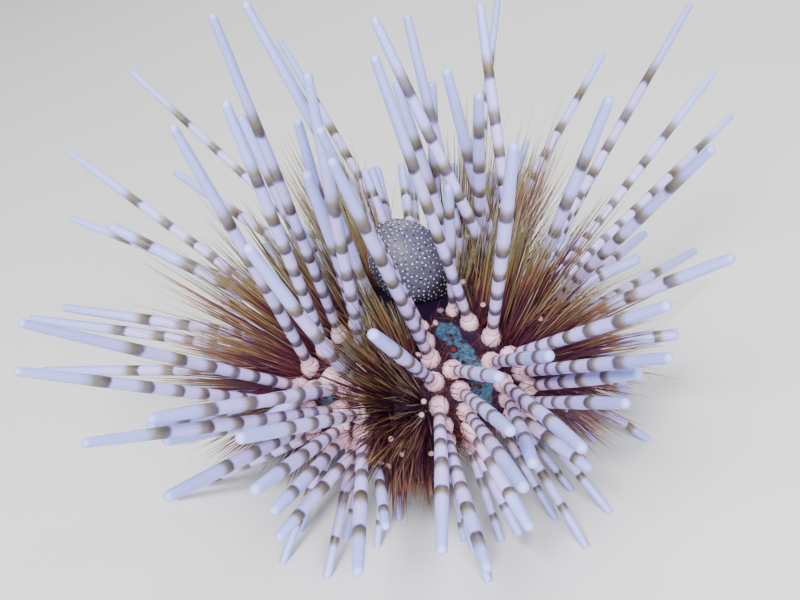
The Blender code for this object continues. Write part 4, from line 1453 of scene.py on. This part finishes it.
class SpineSettings(bpy.types.PropertyGroup):
    """Sizes and colours of the banded primary spines."""

    sides: count_property("Sides", 24, 6, "Faces round a spine, two for each rib")
    rib_depth: share_property("Rib depth", 0.07, (0, 0.5), "Depth of the grooves by the radius")
    banded: share_property("Banded share", 0.7, (0.1, 1), "Share of a spine that carries bands")
    roughness: share_property("Roughness", 0.38, (0.1, 1), "How dull the shafts are")
    shaft: colour_property("Shaft", (0.600, 0.510, 0.990), "Lilac white between the bands")
    tip: colour_property("Tip", (0.380, 0.450, 1.000), "Bluish white of the tip")
    # Painted shade: the darker colour laid in the grooves between the ribs
    furrow: colour_property("Furrow", (0.290, 0.260, 0.600), "Grooves between the ribs")
    foot: colour_property("Foot", (0.720, 0.470, 0.530), "Pinkish white of the bulb")
    blush: colour_property("Blush", (0.500, 0.200, 0.210), "Redder patches of the bulb")
    inner_band: colour_property("Inner band", (0.085, 0.060, 0.100), "Bands near the foot")
    outer_band: colour_property("Outer band", (0.170, 0.145, 0.060), "Bands further out")
    band_edge: colour_property("Band edge", (0.046, 0.028, 0.042), "A band's sharp inner edge")


class NeedleSettings(bpy.types.PropertyGroup):
    """Sizes and colours of the fans of needles."""

    per_area: count_property("Needles", 1200, 10, "Needles in each of the five fans")
    longest: length_property("Longest", 44 * MM, "Length of the longest needles")
    thickness: length_property("Thickness", 0.205 * MM, "Radius at the foot")
    foot: colour_property("Foot", (0.066, 0.016, 0.034), "Maroon foot")
    low: colour_property("Low", (0.112, 0.038, 0.040), "Red-brown lower part")
    middle: colour_property("Middle", (0.265, 0.122, 0.052), "Orange-brown middle")
    high: colour_property("High", (0.232, 0.180, 0.078), "Golden upper part")
    tip: colour_property("Tip", (0.205, 0.188, 0.082), "Olive tip")
    # Painted highlight: the pale last stop that stands for glints of light on the needles' ends
    glint: colour_property("Glint", (0.480, 0.460, 0.380), "Pale ends of a few")


class HairSettings(bpy.types.PropertyGroup):
    """Sizes and colours of the fine hairs round each large spine."""

    per_foot: count_property("Hairs", 15, 0, "Hairs round the foot of a spine")
    length: length_property("Length", 9 * MM, "Length of a hair")
    thickness: length_property("Thickness", 0.13 * MM, "Radius at the foot")
    foot: colour_property("Foot", (0.035, 0.006, 0.006), "Dark foot")
    tip: colour_property("Tip", (0.160, 0.034, 0.016), "Red-brown tip")


class TubeFootSettings(bpy.types.PropertyGroup):
    """Sizes and colours of the tube feet."""

    per_row: count_property("Feet", 17, 0, "Tube feet in each of the ten rows")
    length: length_property("Length", 9 * MM, "Length of a tube foot")
    thickness: length_property("Thickness", 0.3 * MM, "Radius of the stalk")
    stalk: colour_property("Stalk", (0.080, 0.030, 0.035), "Dark stalk")
    sucker: colour_property("Sucker", (0.360, 0.240, 0.230), "Pale sucker")


class SacSettings(bpy.types.PropertyGroup):
    """Sizes and colours of the anal sac."""

    pale_spacing: length_property("Pale spacing", 1.0 * MM, "Least gap of the pale dots")
    pale_radius: length_property("Pale radius", 0.17 * MM, "Radius of a pale dot")
    dark_spacing: length_property("Dark spacing", 1.7 * MM, "Least gap of the dark dots")
    dark_radius: length_property("Dark radius", 0.25 * MM, "Radius of a dark dot")
    skin: colour_property("Skin", (0.058, 0.054, 0.094), "Grey-mauve skin")
    skin_light: colour_property("Skin light", (0.108, 0.102, 0.166), "Its lighter clouds")
    crease: colour_property("Crease", (0.060, 0.052, 0.080), "Fine wrinkles")
    foot: colour_property("Foot", (0.030, 0.022, 0.040), "Dark narrow foot")
    anus: colour_property("Anus", (0.060, 0.030, 0.018), "Brown rim of the anus")
    pale: colour_property("Pale dots", (0.800, 0.790, 0.800), "White dots")
    dark: colour_property("Dark dots", (0.008, 0.007, 0.012), "Black dots")


class TeethSettings(bpy.types.PropertyGroup):
    """Colours of the teeth."""

    ivory: colour_property("Ivory", (0.780, 0.740, 0.640), "The teeth's pale colour")
    ivory_deep: colour_property("Deep ivory", (0.620, 0.550, 0.420), "Its deeper grain")


class StageSettings(bpy.types.PropertyGroup):
    """The floor, the light and the lens."""

    floor: colour_property("Floor", (0.700, 0.700, 0.690), "The pale floor")
    lens: FloatProperty(
        name="Lens", description="Focal length in millimetres", default=57.16, min=10
    )


class URCHIN_OT_skin(bpy.types.Operator):
    """Make the skin over the test, with its stripes, bosses and mouth"""

    bl_idname = "urchin.skin"
    bl_label = "Test skin"

    def execute(self, context):
        settings = context.scene.urchin_skin
        made = object_of("test_skin", skin_mesh(settings))
        made.data.materials.append(skin_finish(settings))
        flesh = [f"interambulacrum_{area}" for area in INTERAMBULACRA]
        flesh += [f"ambulacrum_{area}" for area in AMBULACRA]
        settle(made, "apical_disc", *flesh, "apical_disc", "peristome")
        return {"FINISHED"}


class URCHIN_OT_spines(bpy.types.Operator):
    """Make the banded primary spines of the five wide areas"""

    bl_idname = "urchin.spines"
    bl_label = "Primary spines"

    def execute(self, context):
        settings = context.scene.urchin_spines
        finish = spine_finish(settings)
        tree = swept_tree()
        values = {"Sides": settings.sides, "Rib Depth": settings.rib_depth, "Material": finish}
        for area, spines in SPINES.items():
            draw = random.Random(SPINE_SEED + area)
            lines = []
            for line, spine in enumerate(spines):
                lines.append(spine_guide(spine, line, draw, settings.banded))
            guides = guide_mesh(f"primary spines {area}", lines)
            made = grown(f"primary_spines_{area}", guides, tree, values)
            cut_level(made.data)
            map_strips(made.data, len(lines))
            settle(made, "interambulacrum", f"interambulacrum_{area}")
        return {"FINISHED"}


class URCHIN_OT_needles(bpy.types.Operator):
    """Make the fans of thin needles of the five narrow areas"""

    bl_idname = "urchin.needles"
    bl_label = "Needles"

    def execute(self, context):
        settings = context.scene.urchin_needles
        stops = (
            (0.0, settings.foot),
            (0.26, settings.low),
            (0.4, settings.middle),
            (0.58, settings.high),
            (0.86, settings.tip),
            # Painted highlight: the pale glint stop, reached by the very tips and by needles
            # shifted up
            (1.0, settings.glint),
        )
        values = {"Sides": 4, "Material": tuft_finish("needle", stops, 0.28)}
        for area in AMBULACRA:
            guides = needle_guides(area, settings)
            grow_tufts(f"needles_{area}", guides, values, "ambulacrum", f"ambulacrum_{area}")
        return {"FINISHED"}


class URCHIN_OT_hairs(bpy.types.Operator):
    """Make the fine red-brown hairs round each large spine"""

    bl_idname = "urchin.hairs"
    bl_label = "Fine hairs"

    def execute(self, context):
        settings = context.scene.urchin_hairs
        stops = ((0.0, settings.foot), (1.0, settings.tip))
        values = {"Sides": 3, "Material": tuft_finish("hair", stops, 0.35)}
        grow_tufts("fine_hairs", hair_guides(settings), values, "ambulacrum")
        return {"FINISHED"}


class URCHIN_OT_tube_feet(bpy.types.Operator):
    """Make the tube feet with their suckers"""

    bl_idname = "urchin.tube_feet"
    bl_label = "Tube feet"

    def execute(self, context):
        settings = context.scene.urchin_tube_feet
        stops = ((0.0, settings.stalk), (0.85, settings.stalk), (0.98, settings.sucker))
        values = {"Sides": 8, "Material": tuft_finish("tube foot", stops, 0.3)}
        grow_tufts("tube_feet", foot_guides(settings), values, "peristome")
        return {"FINISHED"}


class URCHIN_OT_sac(bpy.types.Operator):
    """Make the anal sac and its white and black dots"""

    bl_idname = "urchin.sac"
    bl_label = "Anal sac"

    def execute(self, context):
        settings = context.scene.urchin_sac
        tree = dotted_tree()
        kinds = (
            ("pale", settings.pale, settings.pale_spacing, settings.pale_radius, PALE_SEED),
            ("dark", settings.dark, settings.dark_spacing, settings.dark_radius, DARK_SEED),
        )
        for kind, colour, spacing, radius, seed in kinds:
            deep = [0.8 * share for share in colour]
            finish = plain_finish(f"sac {kind} dots", colour, deep, 3000, 0.35)
            values = {
                "Spacing": spacing,
                "Dot Radius": radius,
                "Flatness": DOT_FLATNESS,
                "Seed": seed,
                "Material": finish,
            }
            settle(grown(f"sac_{kind}_dots", sac_mesh(), tree, values), "anal_sac")
        made = object_of("sac_skin", sac_mesh())
        made.data.materials.append(sac_finish(settings))
        settle(made, "anal_sac", "anal_sac")
        return {"FINISHED"}


class URCHIN_OT_teeth(bpy.types.Operator):
    """Make the five teeth in the mouth"""

    bl_idname = "urchin.teeth"
    bl_label = "Teeth"

    def execute(self, context):
        settings = context.scene.urchin_teeth
        finish = plain_finish("tooth ivory", settings.ivory, settings.ivory_deep, 1800, 0.3)
        nodes = [f"tooth_{index}" for index in INTERAMBULACRA]
        grow_tufts("teeth", tooth_guides(), {"Sides": 10, "Material": finish}, "tooth", *nodes)
        return {"FINISHED"}


class URCHIN_OT_stage(bpy.types.Operator):
    """Make the floor, the soft lights and the camera"""

    bl_idname = "urchin.stage"
    bl_label = "Stage"

    def execute(self, context):
        settings = context.scene.urchin_stage
        mesh = bpy.data.meshes.new("floor")
        corners = [(FLOOR_HALF * x, FLOOR_HALF * y, 0) for x, y in FLOOR_CORNERS]
        mesh.from_pydata(corners, [], [(0, 1, 2, 3)])
        floor = object_of("floor", mesh)
        made, _, shader = finish_of("pale floor", Roughness=0.85)
        shader.inputs["Base Color"].default_value = linear(settings.floor)
        mesh.materials.append(made)
        add_lights(context.scene)
        add_camera(context.scene, settings.lens)
        return {"FINISHED"}


def add_lights(scene):
    """A large soft key from the upper left, a fill from beside the viewer and a light behind.

    Each lamp has its place from the middle of the animal, its width, its watts and its colour.
    """
    centre = Vector(AXIS) + Vector((0, 0, AMBITUS_HEIGHT))
    lamps = (
        ("key", (-0.2, -0.62, 0.75), 0.35, 20.5, (0.97, 0.96, 1.0)),
        ("fill", (0.16, -0.72, 0.42), 0.4, 9.0, (0.95, 0.95, 1.0)),
        ("back", (0.25, 0.7, 0.6), 0.5, 5.0, (1.0, 1.0, 1.0)),
    )
    for name, place, size, power, colour in lamps:
        light = bpy.data.lights.new(name, "AREA")
        light.shape = "DISK"
        light.size = size
        light.energy = power
        light.color = colour
        lamp = object_of(name, light)
        lamp.location = centre + Vector(place)
        lamp.rotation_euler = (-Vector(place)).to_track_quat("-Z", "Y").to_euler()
    world = bpy.data.worlds.new("studio")
    world.use_nodes = True
    sky = world.node_tree.nodes["Background"]
    sky.inputs["Color"].default_value = (0.95, 0.97, 1.0, 1.0)
    sky.inputs["Strength"].default_value = 0.4
    scene.world = world


def add_camera(scene, lens):
    """The photograph's viewpoint, with its roll and its off-centre framing."""
    data = bpy.data.cameras.new("viewer")
    data.lens = lens
    data.sensor_width = 36
    data.shift_x = -0.03
    data.shift_y = 0.075
    data.clip_start = 0.01
    camera = object_of("viewer", data)
    right, up, towards = (Vector(axis) for axis in view_axes())
    turn = Matrix((right, up, towards)).transposed().to_4x4()
    place = Vector(AXIS) + Vector((0, 0, AMBITUS_HEIGHT)) + VIEW_DISTANCE * towards
    camera.matrix_world = Matrix.Translation(place) @ turn
    scene.camera = camera


OPERATORS = (
    URCHIN_OT_skin,
    URCHIN_OT_spines,
    URCHIN_OT_needles,
    URCHIN_OT_hairs,
    URCHIN_OT_tube_feet,
    URCHIN_OT_sac,
    URCHIN_OT_teeth,
    URCHIN_OT_stage,
)
SETTINGS = {
    "urchin_skin": SkinSettings,
    "urchin_spines": SpineSettings,
    "urchin_needles": NeedleSettings,
    "urchin_hairs": HairSettings,
    "urchin_tube_feet": TubeFootSettings,
    "urchin_sac": SacSettings,
    "urchin_teeth": TeethSettings,
    "urchin_stage": StageSettings,
}


class URCHIN_PT_panel(bpy.types.Panel):
    """Lists the sizes, the colours and the operators of the urchin."""

    bl_idname = "URCHIN_PT_panel"
    bl_label = "Banded sea urchin"
    bl_space_type = "VIEW_3D"
    bl_region_type = "UI"
    bl_category = "Urchin"

    def draw(self, context):
        for operator in OPERATORS:
            self.layout.operator(operator.bl_idname)
        for name, group in SETTINGS.items():
            box = self.layout.box()
            box.label(text=name.replace("_", " "))
            for key in group.__annotations__:
                box.prop(getattr(context.scene, name), key)


def register():
    for group in SETTINGS.values():
        bpy.utils.register_class(group)
    for kind in (*OPERATORS, URCHIN_PT_panel):
        bpy.utils.register_class(kind)
    for name, group in SETTINGS.items():
        setattr(bpy.types.Scene, name, PointerProperty(type=group))


def unregister():
    for name in SETTINGS:
        delattr(bpy.types.Scene, name)
    for kind in reversed((*SETTINGS.values(), *OPERATORS, URCHIN_PT_panel)):
        bpy.utils.unregister_class(kind)


def main():
    register()
    bpy.ops.urchin.skin()
    bpy.ops.urchin.spines()
    bpy.ops.urchin.needles()
    bpy.ops.urchin.hairs()
    bpy.ops.urchin.tube_feet()
    bpy.ops.urchin.sac()
    bpy.ops.urchin.teeth()
    bpy.ops.urchin.stage()


if __name__ == "__main__":
    main()
